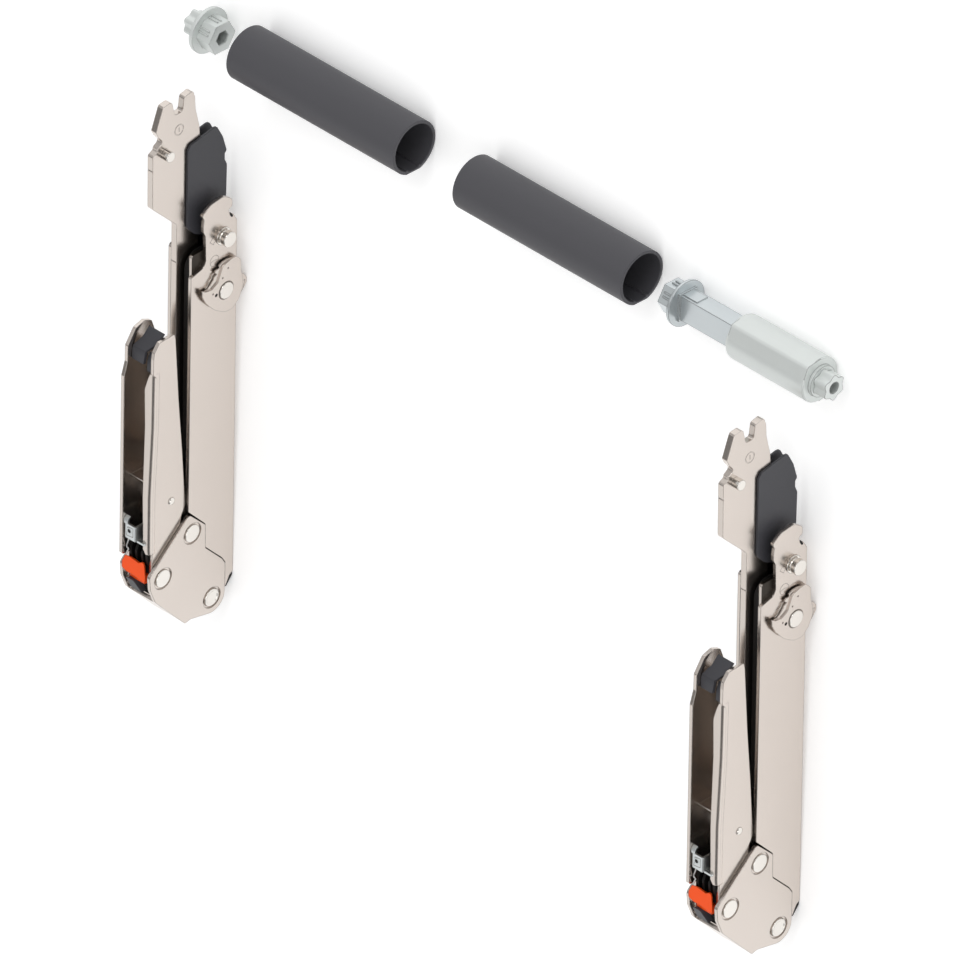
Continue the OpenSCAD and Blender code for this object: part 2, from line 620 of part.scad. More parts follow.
// Plain ring with a bar, a generic side mark
module round_mark() {
  difference() {
    circle(r = 2.2);
    circle(r = 1.9);
  }
  square([1.8, 0.3], center = true);
}
module link_stud() {
  color(nickel) union() {
    along_x(stud_pt, -half_link, half_link, stud_d - 0.8);
    along_x(stud_pt, half_link, half_link + stud_out, stud_d);
  }
}

// Cross rod group, drawn along x from the end of the plug's star
plug_len = star_len + flange_t + hex_len;
rod_start = plug_len + plug_gap;
second_start = rod_start + rod_len + rod_gap;
coupler_start = second_start + rod_len + coupler_gap;
flange_at = coupler_start + hex_len + 0.3;
coupler_flange_t = 1.1;
shaft_at = flange_at + coupler_flange_t;
sleeve_at = shaft_at + shaft_shown;
sleeve_end = sleeve_at + sleeve_len;
group_len = sleeve_end + star_len;
module on_axis(x) translate([x, 0, 0]) rotate([90, 0, 90]) children();
module star_boss(x, len) on_axis(x) linear_extrude(len) polygon(star());
module hexagon(x, len, r) on_axis(x) rotate(30) cylinder(r = r, h = len, $fn = 6);
module hex_ribs(x, len) {
  flat = hex_r * cos(30);
  for (turn = [60, 120, 240, 300]) rotate([turn + 30, 0, 0]) for (s = [-1.1, 0.5])
    translate([x, s, flat - 0.3]) cube([len, 0.6, 0.8]);
}
module end_plug() {
  color(zinc) difference() {
    union() {
      star_boss(0, star_len + 0.1);
      on_axis(star_len) cylinder(d = flange_d, h = flange_t);
      hexagon(star_len + flange_t - 0.1, hex_len + 0.1, hex_r);
      hex_ribs(star_len + flange_t, hex_len - 1.6);
    }
    hexagon(plug_len - 9, 10, plug_socket_r);
  }
}
plug_socket_r = 2.9;
module rod(x) {
  flat_at = 9.75;
  color(rod_colour) union() {
    difference() {
      on_axis(x) cylinder(r = rod_r, h = rod_len);
      on_axis(x - 1) cylinder(r = bore_r, h = rod_len + 2);
      translate([x - 1, -rod_r - 1, -rod_r]) cube([rod_len + 2, rod_r + 1 - flat_at, rod_d]);
    }
    for (z = [-3.4, 2.6]) translate([x, -bore_r - 0.1, z]) cube([rod_len, 1.1, 0.8]);
  }
}
sleeve_r = 8.6;
shaft_w = 7.2;
shaft_h = 9.5;
sleeve_wall = 5;
pocket_len = sleeve_len - sleeve_wall;
shaft_in = pocket_len - sleeve_travel - 3.5;
module bar(x, len, w, h) translate([x, -w / 2, -h / 2]) cube([len, w, h]);
module coupler_shaft() {
  cavity = shaft_shown + shaft_in - 6;
  color(zinc) difference() {
    union() {
      hexagon(coupler_start, hex_len + 0.4, hex_r);
      hex_ribs(coupler_start + 1.4, hex_len - 1.2);
      on_axis(flange_at) cylinder(d = flange_d, h = coupler_flange_t);
      bar(shaft_at - 0.1, shaft_shown + shaft_in + 0.1, shaft_h, shaft_w);
      bar(shaft_at - 0.1, 0.9, shaft_h + 1.2, shaft_w + 1.2);
      translate([shaft_at, shaft_h / 2 - 0.1, -shaft_w / 2 + 1]) cube([7.4, 0.45, shaft_w - 2]);
    }
    on_axis(shaft_at + 6) cylinder(d = coil_d + 0.6, h = cavity + 1);
  }
}
shaft_slip = 0.2;
star_root = 1.4;
module coupler_sleeve() {
  color(zinc) difference() {
    union() {
      on_axis(sleeve_at) rotate_extrude() polygon(concat([[0, 0]], arc([sleeve_r - 2.2, 2.2], 2.2, -90, 0, 6),
        [[sleeve_r, sleeve_len - 0.4], [sleeve_r - 0.4, sleeve_len], [0, sleeve_len]]));
      for (turn = [0, 180]) rotate([turn, 0, 0]) translate([sleeve_at + 1.6, 0, 0]) rotate([90, 0, 90])
        linear_extrude(sleeve_len - 1.6) polygon(rounded([[2, 0, 0], [sleeve_r - 0.1, 0, 0],
          [7.7, 6.4, 1.6], [3.4, 7.85, 0], [0, 2, 0]], 5));
      on_axis(sleeve_end - 0.1) cylinder(r = star_r + 0.9, h = star_root);
      star_boss(sleeve_end, star_len);
    }
    translate([sleeve_at - 1, -shaft_h / 2 - shaft_slip, -shaft_w / 2 - shaft_slip])
      cube([pocket_len + 1, shaft_h + 2 * shaft_slip, shaft_w + 2 * shaft_slip]);
    on_axis(sleeve_at) cylinder(d = coupler_bore, h = sleeve_len + star_len + 1);
  }
}
// Coil spring between the bottom of the shaft's cavity and the end wall of the sleeve
coil_wire = 0.8;
coil_start = shaft_at + 6 + coil_wire / 2 + 0.05;
coil_end = sleeve_at + pocket_len - coil_wire / 2 - 0.05;
coil_steps = 8;
coil_points = [for (i = [0 : coil_turns * coil_steps])
  let (a = 360 * i / coil_steps, x = coil_start + (coil_end - coil_start) * i / (coil_turns * coil_steps))
  [x, (coil_d - coil_wire) / 2 * cos(a), (coil_d - coil_wire) / 2 * sin(a)]];
coil_gap = min([for (i = [0 : len(coil_points) - 1 - coil_steps])
  norm(coil_points[i + coil_steps] - coil_points[i])]) - coil_wire;
echo(coil_gap = coil_gap);
module coupler_spring() color(nickel) wire(coil_points, coil_wire, [1, 0, 0]);

// Places on the table
function row_y(p) = heel_at + (p[0] - heel_at) * cos(lean) - p[1] * sin(lean);
function row_z(p) = (p[0] - heel_at) * sin(lean) + p[1] * cos(lean);
low_y = min([for (p = head_outline) row_y(p)]);
high_y = rod_at + rod_r;
left_x = -plug_left;
right_x = left_x + group_len;
shift_x = -(left_x + right_x) / 2;
shift_y = -(low_y + high_y) / 2;
left_arm_x = shift_x;
right_arm_x = shift_x + arm_pitch;
function on_row(x, p) = [x, row_y(p) + shift_y, row_z(p)];
echo(left_arm_x = left_arm_x, right_arm_x = right_arm_x, shift_y = shift_y, lean = lean);
echo(drive = on_row(0, drive_pt), link = on_row(0, link_pt), lever = on_row(0, lever_pt),
  cam = on_row(0, cam_pt), hook = on_row(0, hook_pt), stud = on_row(0, stud_pt));
echo(rod_y = rod_at + shift_y, group_x = left_x + shift_x, rod_start = rod_start, second_start = second_start,
  coupler_start = coupler_start, sleeve_at = sleeve_at, group_len = group_len);
module place_arm(x) translate([x, shift_y + heel_at, 0]) rotate([lean, 0, 0])
  translate([0, -heel_at, 0]) children();
module on_left() place_arm(left_arm_x) children();
module on_right() place_arm(right_arm_x) children();
// Each rod piece lies at its own resting height
end_dy = flange_d / 2 - rod_r + 0.15;
module on_table(r, dy = 0) translate([left_x + shift_x, rod_at + shift_y + dy, r]) children();

on_table(flange_d / 2, end_dy) end_plug();
on_table(rod_r) rod(rod_start);  // rod_left
on_table(rod_r) rod(second_start);  // rod_right
on_table(flange_d / 2, end_dy) coupler_shaft();
on_table(flange_d / 2, end_dy) coupler_sleeve();
on_table(flange_d / 2, end_dy) coupler_spring();
on_left() arm_shell();  // left_arm_shell
on_left() arm_frame();  // left_arm_frame
on_left() glide_liner();  // left_glide_liner
on_left() guide_cheeks();  // left_guide_cheeks
on_left() end_bumper();  // left_end_bumper
on_left() drive_rivet();  // left_drive_rivet
on_left() hook_pin();  // left_hook_pin
on_left() cam_pin();  // left_cam_pin
on_left() cam_washer();  // left_cam_washer
on_left() lock_cam();  // left_lock_cam
on_left() joint_head();  // left_joint_head
on_left() link_rivet();  // left_link_rivet
on_left() lever_pin();  // left_lever_pin
on_left() door_bracket();  // left_door_bracket
on_left() wall_rivets();  // left_wall_rivets
on_left() snap_clip();  // left_snap_clip
on_left() catch_plate();  // left_catch_plate
on_left() catch_housing();  // left_catch_housing
on_left() release_lever();  // left_release_lever
on_left() latch_jaw();  // left_latch_jaw
on_left() lever_spring();  // left_lever_spring
on_left() control_link();  // left_control_link
on_left() link_stud();  // left_link_stud
on_right() arm_shell();  // right_arm_shell
on_right() arm_frame();  // right_arm_frame
on_right() glide_liner();  // right_glide_liner
on_right() guide_cheeks();  // right_guide_cheeks
on_right() end_bumper();  // right_end_bumper
on_right() drive_rivet();  // right_drive_rivet
on_right() hook_pin();  // right_hook_pin
on_right() cam_pin();  // right_cam_pin
on_right() cam_washer();  // right_cam_washer
on_right() lock_cam();  // right_lock_cam
on_right() joint_head();  // right_joint_head
on_right() link_rivet();  // right_link_rivet
on_right() lever_pin();  // right_lever_pin
on_right() door_bracket();  // right_door_bracket
on_right() wall_rivets();  // right_wall_rivets
on_right() snap_clip();  // right_snap_clip
on_right() catch_plate();  // right_catch_plate
on_right() catch_housing();  // right_catch_housing
on_right() release_lever();  // right_release_lever
on_right() latch_jaw();  // right_latch_jaw
on_right() lever_spring();  // right_lever_spring
on_right() control_link();  // right_control_link
on_right() link_stud();  // right_link_stud
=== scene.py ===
import json
import math

import bmesh
import bpy
from mathutils import Matrix, Vector
from mathutils.geometry import tessellate_polygon


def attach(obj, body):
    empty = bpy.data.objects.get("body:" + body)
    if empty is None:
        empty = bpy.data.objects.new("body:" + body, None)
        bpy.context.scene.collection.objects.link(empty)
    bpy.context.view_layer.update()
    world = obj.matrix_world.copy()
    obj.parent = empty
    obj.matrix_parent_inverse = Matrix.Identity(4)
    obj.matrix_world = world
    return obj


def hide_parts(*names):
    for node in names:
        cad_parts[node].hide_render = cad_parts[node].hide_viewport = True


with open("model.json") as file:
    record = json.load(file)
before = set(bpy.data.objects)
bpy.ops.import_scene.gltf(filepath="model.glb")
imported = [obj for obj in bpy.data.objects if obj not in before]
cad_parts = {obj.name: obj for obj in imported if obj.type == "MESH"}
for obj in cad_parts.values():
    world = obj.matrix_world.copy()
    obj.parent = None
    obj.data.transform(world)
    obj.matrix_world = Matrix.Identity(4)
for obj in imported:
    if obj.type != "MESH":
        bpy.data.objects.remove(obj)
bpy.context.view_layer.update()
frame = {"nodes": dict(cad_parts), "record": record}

cameraSettings = {
    "aim": (0.0069, 0.1244, 0.0224),  # across, along the arms, above their backs
    "armLean": math.radians(1.90445),  # the arms rest on heel and cam
    "assemblyLean": math.radians(1.1),  # lean of the folded arms in the view
    "heelAt": 0.006,
    "shiftAlong": -0.115054,
    "distance": 15.4,
    "clip": (1, 60),
    "sensor": 20,
    "nudge": (0.0005, -0.0001),  # right, up
    "fieldWidth": 0.32833,
}


def leanDirection(across, along, height):
    lean = cameraSettings["armLean"]
    y = along * math.cos(lean) - height * math.sin(lean)
    z = along * math.sin(lean) + height * math.cos(lean)
    return Vector((across, y, z))


def armPoint(across, along, height):
    heel = cameraSettings["heelAt"]
    spot = leanDirection(across, along - heel, height)
    spot.y += heel + cameraSettings["shiftAlong"]
    return spot


def makeCamera():
    look = cameraSettings
    sine, cosine = math.sin(look["assemblyLean"]), math.cos(look["assemblyLean"])
    back = leanDirection(1, cosine - sine, cosine + sine).normalized()
    right = leanDirection(1, sine, -cosine).normalized()
    up = back.cross(right)
    spot = armPoint(*look["aim"]) + back * look["distance"]
    spot += right * look["nudge"][0] + up * look["nudge"][1]
    turn = Matrix((right, up, back)).transposed().to_4x4()
    camera = bpy.data.objects.new("photoCamera", bpy.data.cameras.new("photoCamera"))
    bpy.context.scene.collection.objects.link(camera)
    camera.matrix_world = Matrix.Translation(spot) @ turn
    camera.data.sensor_width = look["sensor"]
    camera.data.lens = look["sensor"] * look["distance"] / look["fieldWidth"]
    camera.data.clip_start, camera.data.clip_end = look["clip"]
    bpy.context.scene.camera = camera


makeCamera()
print("camera placed")

# Effects that several finishes share


def makeGroup(name, inputs, outputs):
    group = bpy.data.node_groups.new(name, "ShaderNodeTree")
    for label, kind, value in inputs:
        socket = group.interface.new_socket(name=label, in_out="INPUT", socket_type="NodeSocket" + kind)
        socket.default_value = value
    for label, kind in outputs:
        group.interface.new_socket(name=label, in_out="OUTPUT", socket_type="NodeSocket" + kind)
    return group, group.nodes.new("NodeGroupInput"), group.nodes.new("NodeGroupOutput")


def addNode(tree, kind, settings=None, **values):
    node = tree.nodes.new("ShaderNode" + kind)
    for key, value in (settings or {}).items():
        setattr(node, key, value)
    for key, value in values.items():
        node.inputs[key.replace("_", " ")].default_value = value
    return node


def addMath(tree, operation, a, b):
    node = addNode(tree, "Math", {"operation": operation})
    for slot, value in enumerate((a, b)):
        if isinstance(value, (int, float)):
            node.inputs[slot].default_value = value
        else:
            tree.links.new(value, node.inputs[slot])
    return node.outputs[0]


def addRange(tree, value, fromLow, fromHigh, toLow, toHigh):
    node = addNode(tree, "MapRange", {"interpolation_type": "SMOOTHSTEP"})
    node.inputs["From Min"].default_value = fromLow
    node.inputs["From Max"].default_value = fromHigh
    node.inputs["To Min"].default_value = toLow
    node.inputs["To Max"].default_value = toHigh
    tree.links.new(value, node.inputs["Value"])
    return node.outputs[0]


# A value that swings with a noise whose middle is given
def addSwing(tree, noise, middle, base, amount):
    swing = addMath(tree, "MULTIPLY", addMath(tree, "SUBTRACT", noise, middle), amount)
    return addMath(tree, "ADD", base, swing)


def addDotProduct(tree, vector):
    node = addNode(tree, "VectorMath", {"operation": "DOT_PRODUCT"})
    tree.links.new(vector, node.inputs[0])
    return node


def addScaled(tree, colour, level):
    node = addNode(tree, "VectorMath", {"operation": "SCALE"})
    tree.links.new(colour, node.inputs[0])
    tree.links.new(level, node.inputs["Scale"])
    return node.outputs[0]


def scaledPlace(tree, scale):
    place = addNode(tree, "TexCoord").outputs["Object"]
    mapping = addNode(tree, "Mapping")
    mapping.inputs["Scale"].default_value = scale
    tree.links.new(place, mapping.inputs["Vector"])
    return mapping.outputs["Vector"]


def makeColourDrift():
    group, start, end = makeGroup(
        "colourDrift",
        [("Colour", "Color", (0.8, 0.8, 0.8, 1)), ("Amount", "Float", 0.05), ("Scale", "Float", 60)],
        [("Colour", "Color")],
    )
    cloud = addNode(group, "TexNoise", Detail=3, Roughness=0.55)
    group.links.new(scaledPlace(group, (1, 1, 1)), cloud.inputs["Vector"])
    group.links.new(start.outputs["Scale"], cloud.inputs["Scale"])
    level = addSwing(group, cloud.outputs[0], 0.5, 1.0, start.outputs["Amount"])
    group.links.new(addScaled(group, start.outputs["Colour"], level), end.inputs["Colour"])
    return group


def makeRolledGrain():
    group, start, end = makeGroup(
        "rolledGrain",
        [("Grain", "Float", 900), ("Roughness", "Float", 0.3), ("Swing", "Float", 0.1)],
        [("Roughness", "Float"), ("Height", "Float")],
    )
    lines = addNode(group, "TexNoise", Detail=4, Roughness=0.6)
    group.links.new(scaledPlace(group, (6, 0.25, 6)), lines.inputs["Vector"])
    group.links.new(start.outputs["Grain"], lines.inputs["Scale"])
    smear = addNode(group, "TexNoise", Scale=45, Detail=2)
    group.links.new(scaledPlace(group, (1, 0.4, 1)), smear.inputs["Vector"])
    both = addMath(group, "ADD", lines.outputs[0], smear.outputs[0])
    rough = addSwing(group, both, 1.0, start.outputs["Roughness"], start.outputs["Swing"])
    group.links.new(rough, end.inputs["Roughness"])
    group.links.new(lines.outputs[0], end.inputs["Height"])
    return group


def makeFineGrain():
    group, start, end = makeGroup(
        "fineGrain",
        [("Scale", "Float", 3000), ("Roughness", "Float", 0.5), ("Swing", "Float", 0.1)],
        [("Roughness", "Float"), ("Height", "Float")],
    )
    grain = addNode(group, "TexNoise", Detail=3, Roughness=0.7)
    group.links.new(scaledPlace(group, (1, 1, 1)), grain.inputs["Vector"])
    group.links.new(start.outputs["Scale"], grain.inputs["Scale"])
    rough = addSwing(group, grain.outputs[0], 0.5, start.outputs["Roughness"], start.outputs["Swing"])
    group.links.new(rough, end.inputs["Roughness"])
    group.links.new(grain.outputs[0], end.inputs["Height"])
    return group


# Painted shade: an edge's colour is darkened where the rounded normal leaves the true one; the cosines say
# from where to where
edgeTurn = {"starts": 0.975, "full": 0.9, "samples": 8}


def makeSoftEdgeAndShade():
    group, start, end = makeGroup(
        "softEdge",
        [("Radius", "Float", 0.0003), ("Colour", "Color", (0.8, 0.8, 0.8, 1)), ("Darker", "Float", 0.5)],
        [("Normal", "Vector"), ("Colour", "Color")],
    )
    bevel = addNode(group, "Bevel", {"samples": edgeTurn["samples"]})
    group.links.new(start.outputs["Radius"], bevel.inputs["Radius"])
    group.links.new(bevel.outputs[0], end.inputs["Normal"])
    turn = addDotProduct(group, bevel.outputs[0])
    group.links.new(addNode(group, "NewGeometry").outputs["True Normal"], turn.inputs[1])
    # mask of the painted shade along the rounded edges
    line = addRange(group, turn.outputs["Value"], edgeTurn["starts"], edgeTurn["full"], 0, 1)
    level = addMath(group, "SUBTRACT", 1.0, addMath(group, "MULTIPLY", line, start.outputs["Darker"]))
    group.links.new(addScaled(group, start.outputs["Colour"], level), end.inputs["Colour"])
    return group


colourDrift = makeColourDrift()
rolledGrain = makeRolledGrain()
fineGrain = makeFineGrain()
softEdge = makeSoftEdgeAndShade()


def placeGroup(tree, group, **values):
    node = tree.nodes.new("ShaderNodeGroup")
    node.node_tree = group
    for key, value in values.items():
        node.inputs[key].default_value = value
    return node


# line: how strongly painted shade darkens a finish's rounded edges
finishDefaults = {"metal": 0, "specular": 0.5, "line": 0.3}


# A finish has either the long grain of rolled sheet or an even speckle
def placeGrain(tree, look):
    if "grain" in look:
        group, sizes = rolledGrain, {"Grain": look["grain"]}
    else:
        group, sizes = fineGrain, {"Scale": look["speckle"]}
    return placeGroup(tree, group, **sizes, Roughness=look["rough"], Swing=look["swing"])


def makeFinish(name, settings):
    look = {**finishDefaults, **settings}
    material = bpy.data.materials.new(name)
    material.use_nodes = True
    tree = material.node_tree
    shader = tree.nodes["Principled BSDF"]
    drift = placeGroup(tree, colourDrift, Colour=(*look["colour"], 1), Amount=look["drift"],
                       Scale=look["driftScale"])
    grain = placeGrain(tree, look)
    tree.links.new(grain.outputs["Roughness"], shader.inputs["Roughness"])
    # the edge group rounds the normal and paints shade into the colour along the edges
    edge = placeGroup(tree, softEdge, Radius=look["edge"], Darker=look["line"])
    tree.links.new(drift.outputs["Colour"], edge.inputs["Colour"])
    tree.links.new(edge.outputs["Colour"], shader.inputs["Base Color"])
    bump = addNode(tree, "Bump", Strength=look["bump"], Distance=look["depth"])
    tree.links.new(grain.outputs["Height"], bump.inputs["Height"])
    tree.links.new(edge.outputs["Normal"], bump.inputs["Normal"])
    tree.links.new(bump.outputs["Normal"], shader.inputs["Normal"])
    shader.inputs["Metallic"].default_value = look["metal"]
    shader.inputs["Specular IOR Level"].default_value = look["specular"]
    return material


# In each finish, line is the strength of the painted shade along its rounded edges
finishes = {
    "platedSheet": {"colour": (0.66, 0.598, 0.55), "drift": 0.05, "driftScale": 40, "grain": 900,
                    "rough": 0.24, "swing": 0.08, "edge": 0.0004, "bump": 0.12, "depth": 0.00002,
                    "metal": 1.0, "line": 0.55},
    # a near-black copy of the plated sheet: painted shade
    "shadedSheet": {"colour": (0.045, 0.038, 0.032), "drift": 0.08, "driftScale": 60, "grain": 900,
                    "rough": 0.42, "swing": 0.1, "edge": 0.0002, "bump": 0.12, "depth": 0.00002,
                    "metal": 1.0},
    # dark colour for grooves, dimples, pressed lines and the ring round the cam pin: painted shade
    "scribed": {"colour": (0.20, 0.175, 0.155), "drift": 0.08, "driftScale": 200, "speckle": 3000,
                "rough": 0.5, "swing": 0.1, "edge": 0.0001, "bump": 0.1, "depth": 0.00001, "metal": 1.0},
    "platedPin": {"colour": (0.80, 0.765, 0.72), "drift": 0.05, "driftScale": 200, "speckle": 1500,
                  "rough": 0.14, "swing": 0.06, "edge": 0.0004, "bump": 0.1, "depth": 0.00002, "metal": 1.0,
                  "line": 0.95},
    "springSheet": {"colour": (0.5, 0.48, 0.45), "drift": 0.08, "driftScale": 90, "grain": 1200,
                    "rough": 0.3, "swing": 0.1, "edge": 0.0001, "bump": 0.15, "depth": 0.00002,
                    "metal": 1.0},
    "springWire": {"colour": (0.62, 0.62, 0.62), "drift": 0.08, "driftScale": 300, "speckle": 2500,
                   "rough": 0.3, "swing": 0.1, "edge": 0.0001, "bump": 0.1, "depth": 0.00001, "metal": 1.0},
    "zincPlate": {"colour": (0.66, 0.69, 0.69), "drift": 0.12, "driftScale": 220, "speckle": 1200,
                  "rough": 0.36, "swing": 0.12, "edge": 0.0002, "bump": 0.2, "depth": 0.00002,
                  "metal": 1.0},
    "dieCast": {"colour": (0.66, 0.69, 0.675), "drift": 0.06, "driftScale": 120, "speckle": 3500,
                "rough": 0.42, "swing": 0.10, "edge": 0.0006, "bump": 0.25, "depth": 0.00003, "metal": 0.55,
                "line": 0.6},
    "dieCastShaft": {"colour": (0.60, 0.64, 0.655), "drift": 0.06, "driftScale": 120, "speckle": 3500,
                     "rough": 0.3, "swing": 0.10, "edge": 0.0005, "bump": 0.2, "depth": 0.00003,
                     "metal": 0.85, "line": 0.6},
    "rodSkin": {"colour": (0.068, 0.067, 0.075), "drift": 0.06, "driftScale": 50, "speckle": 2600,
                "rough": 0.5, "swing": 0.10, "edge": 0.0003, "bump": 0.25, "depth": 0.00003,
                "specular": 0.35},
    "blackRunner": {"colour": (0.007, 0.0065, 0.006), "drift": 0.2, "driftScale": 90, "speckle": 4000,
                    "rough": 0.5, "swing": 0.15, "edge": 0.0003, "bump": 0.3, "depth": 0.00003,
                    "specular": 0.2},
    "darkGuide": {"colour": (0.043, 0.043, 0.050), "drift": 0.08, "driftScale": 90, "speckle": 4000,
                  "rough": 0.48, "swing": 0.12, "edge": 0.0003, "bump": 0.3, "depth": 0.00003,
                  "specular": 0.4},
    "orangeTab": {"colour": (0.90, 0.085, 0.006), "drift": 0.06, "driftScale": 150, "speckle": 2500,
                  "rough": 0.4, "swing": 0.08, "edge": 0.0005, "bump": 0.12, "depth": 0.00002,
                  "specular": 0.25},
}
madeFinishes = {name: makeFinish(name, settings) for name, settings in finishes.items()}
print("finishes made:", len(madeFinishes))

nodeSlots = {part["node"]: part["material_slot"] for part in frame["record"]["subparts"]}


def camelName(words):
    first, *rest = words.split("_")
    return first + "".join(word.title() for word in rest)


# A node's finish has the name of its slot
def dressNodes():
    for name, node in frame["nodes"].items():
        node.data.materials.clear()
        node.data.materials.append(madeFinishes[camelName(nodeSlots[name])])


dressNodes()
print("nodes dressed:", len(frame["nodes"]))

# Shared ways of making pieces; sizes are in millimetres in an arm's own frame: across, along, height
armAcross = {joint["name"].removesuffix("_head_hinge"): joint["pos_m"][0]
             for joint in frame["record"]["behaviour"]["joints"] if joint["name"].endswith("_head_hinge")}
milli = 0.001
shapeSettings = {
    "flatFrom": 0.9998,  # a face that looks straight across an arm is shaded flat
    "normalWeight": 100,
    "markSunk": 0.02,  # how deep an engraved line's solid lies in its face, and how far it stands out
    "markProud": 0.015,
    "smallestTurn": math.radians(0.5),  # edges between faces that turn less than this are dissolved
}


def armPlace(side):
    heel = cameraSettings["heelAt"]
    lift = Matrix.Translation((armAcross[side], cameraSettings["shiftAlong"] + heel, 0))
    return lift @ Matrix.Rotation(cameraSettings["armLean"], 4, "X") @ Matrix.Translation((0, -heel, 0))


def dressPiece(name, mesh, finish, slotName, body, *nodes):
    piece = bpy.data.objects.new(name, mesh)
    bpy.context.scene.collection.objects.link(piece)
    smoothing = piece.modifiers.new("flatFaces", "WEIGHTED_NORMAL")
    smoothing.mode = "FACE_AREA"
    smoothing.weight = shapeSettings["normalWeight"]
    smoothing.keep_sharp = True
    for look in [finish] if isinstance(finish, str) else finish:
        mesh.materials.append(madeFinishes[look])
    for face in mesh.polygons:
        if abs(face.normal.x) > shapeSettings["flatFrom"]:
            face.use_smooth = False
    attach(piece, body)
    if nodes:
        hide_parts(*nodes)


def closeMesh(name, shape, smoothUnder=40):
    bmesh.ops.recalc_face_normals(shape, faces=shape.faces)
    bmesh.ops.triangulate(shape, faces=[face for face in shape.faces if len(face.verts) > 4])
    for face in shape.faces:
        face.smooth = True
    for edge in shape.edges:
        edge.smooth = len(edge.link_faces) == 2 and edge.calc_face_angle(0) < math.radians(smoothUnder)
    mesh = bpy.data.meshes.new(name)
    shape.to_mesh(mesh)
    shape.free()
    return mesh


# A made shape takes a node's place, named after that node
def replaceNode(node, shape, finish, body, smoothUnder=40):
    name = camelName(node)
    dressPiece(name, closeMesh(name, shape, smoothUnder), finish, nodeSlots[node], body, node)


def breakEdges(shape, width, steps=2, sharperThan=35):
    sharp = [edge for edge in shape.edges
             if len(edge.link_faces) == 2 and edge.calc_face_angle(0) > math.radians(sharperThan)]
    bmesh.ops.bevel(shape, geom=sharp, offset=width * milli, segments=steps, profile=0.5, affect="EDGES",
                    clamp_overlap=True)


def polar(centre, radius, angle):
    turn = math.radians(angle)
    return (centre[0] + radius * math.cos(turn), centre[1] + radius * math.sin(turn))


def circlePoints(centre, radius, count, way=1):
    return [polar(centre, radius, way * 360 * k / count) for k in range(count)]


def arcPoints(centre, radius, start, end, steps=8):
    return [polar(centre, radius, start + (end - start) * k / steps) for k in range(steps + 1)]


def roundCorner(before, corner, after, steps):
    at, radius = Vector(corner[:2]), corner[2]
    if radius == 0:
        return [tuple(at)]
    u, v = (Vector(before[:2]) - at).normalized(), (Vector(after[:2]) - at).normalized()
    half = math.acos(max(-1, min(1, u.dot(v)))) / 2
    centre = at + (u + v).normalized() * radius / math.sin(half)
    first, last = (at + way * radius / math.tan(half) - centre for way in (u, v))
    start = math.atan2(first.y, first.x)
    turn = (math.atan2(last.y, last.x) - start + math.pi) % (2 * math.pi) - math.pi
    angles = [start + turn * k / steps for k in range(steps + 1)]
    return [tuple(centre + radius * Vector((math.cos(angle), math.sin(angle)))) for angle in angles]


def roundedOutline(corners, steps=5):
    count = len(corners)
    return [point for k in range(count)
            for point in roundCorner(corners[k - 1], corners[k], corners[(k + 1) % count], steps)]


# A closed plate between two depths across the arm; its outline is in (along, height)
def addPlate(shape, outline, low, high, place=Matrix()):
    rims = [[shape.verts.new(place @ (Vector((x, a, h)) * milli)) for a, h in outline] for x in (low, high)]
    shape.faces.new(rims[0])
    shape.faces.new(list(reversed(rims[1])))
    count = len(outline)
    for k in range(count):
        n = (k + 1) % count
        shape.faces.new((rims[0][n], rims[0][k], rims[1][k], rims[1][n]))


# A solid turned about an axis across the arm; its profile is in (across, radius)
def addTurned(shape, profile, spot, place=Matrix(), steps=48):
    rings = []
    for x, radius in profile:
        if radius == 0:
            rings.append([shape.verts.new(place @ (Vector((x, spot[0], spot[1])) * milli))])
        else:
            rings.append([shape.verts.new(place @ (Vector((x, a, h)) * milli))
                          for a, h in circlePoints(spot, radius, steps)])
    for low, high in zip(rings, rings[1:]):
        for k in range(steps):
            n = (k + 1) % steps
            corners = [low[k % len(low)], low[n % len(low)], high[n % len(high)], high[k % len(high)]]
            unique = [v for m, v in enumerate(corners) if v not in corners[:m]]
            shape.faces.new(unique)


# A sheet's loops are drawn in (along, height) at a depth across, or in (across, along) at a height
def acrossSpot(a, h, x):
    return Vector((x, a, h))


def heightSpot(x, a, h):
    return Vector((x, a, h))


# The sides between two rings of points
def bridgeRings(shape, low, high):
    count = len(low)
    pairs = [(k, (k + 1) % count) for k in range(count)]
    return [shape.faces.new((low[k], low[n], high[n], high[k])) for k, n in pairs]


# A flat sheet with holes: the first loop is the outline
def addSheet(shape, loops, low, high, toSpot, place=Matrix(), index=0):
    rims = [[[shape.verts.new(place @ (toSpot(p, q, depth) * milli)) for p, q in loop] for loop in loops]
            for depth in (low, high)]
    cuts = tessellate_polygon([[Vector((p, q, 0)) for p, q in loop] for loop in loops])
    faces = []
    for rim in rims:
        flat = [vert for loop in rim for vert in loop]
        faces += [shape.faces.new([flat[k] for k in cut]) for cut in cuts]
    for lower, upper in zip(*rims):
        faces += bridgeRings(shape, lower, upper)
    for face in faces:
        face.material_index = index
    bmesh.ops.recalc_face_normals(shape, faces=faces)
    verts = [vert for rim in rims for loop in rim for vert in loop]
    edges = list(dict.fromkeys(edge for face in faces for edge in face.edges))  # each once, in the same order
    bmesh.ops.dissolve_limit(shape, angle_limit=shapeSettings["smallestTurn"], verts=verts, edges=edges)


# Rings of points in the arm's frame, skinned and capped
def addLoft(shape, rings, place=Matrix()):
    made = [[shape.verts.new(place @ (Vector(spot) * milli)) for spot in ring] for ring in rings]
    shape.faces.new(made[0])
    shape.faces.new(made[-1])
    for low, high in zip(made, made[1:]):
        bridgeRings(shape, low, high)


# Catmull-Rom curve between the middle two of four points
def splinePoint(four, t):
    before, start, end, after = four
    return 0.5 * ((2 * start) + (end - before) * t + (2 * before - 5 * start + 4 * end - after) * t * t
                  + (3 * start - before - 3 * end + after) * t ** 3)


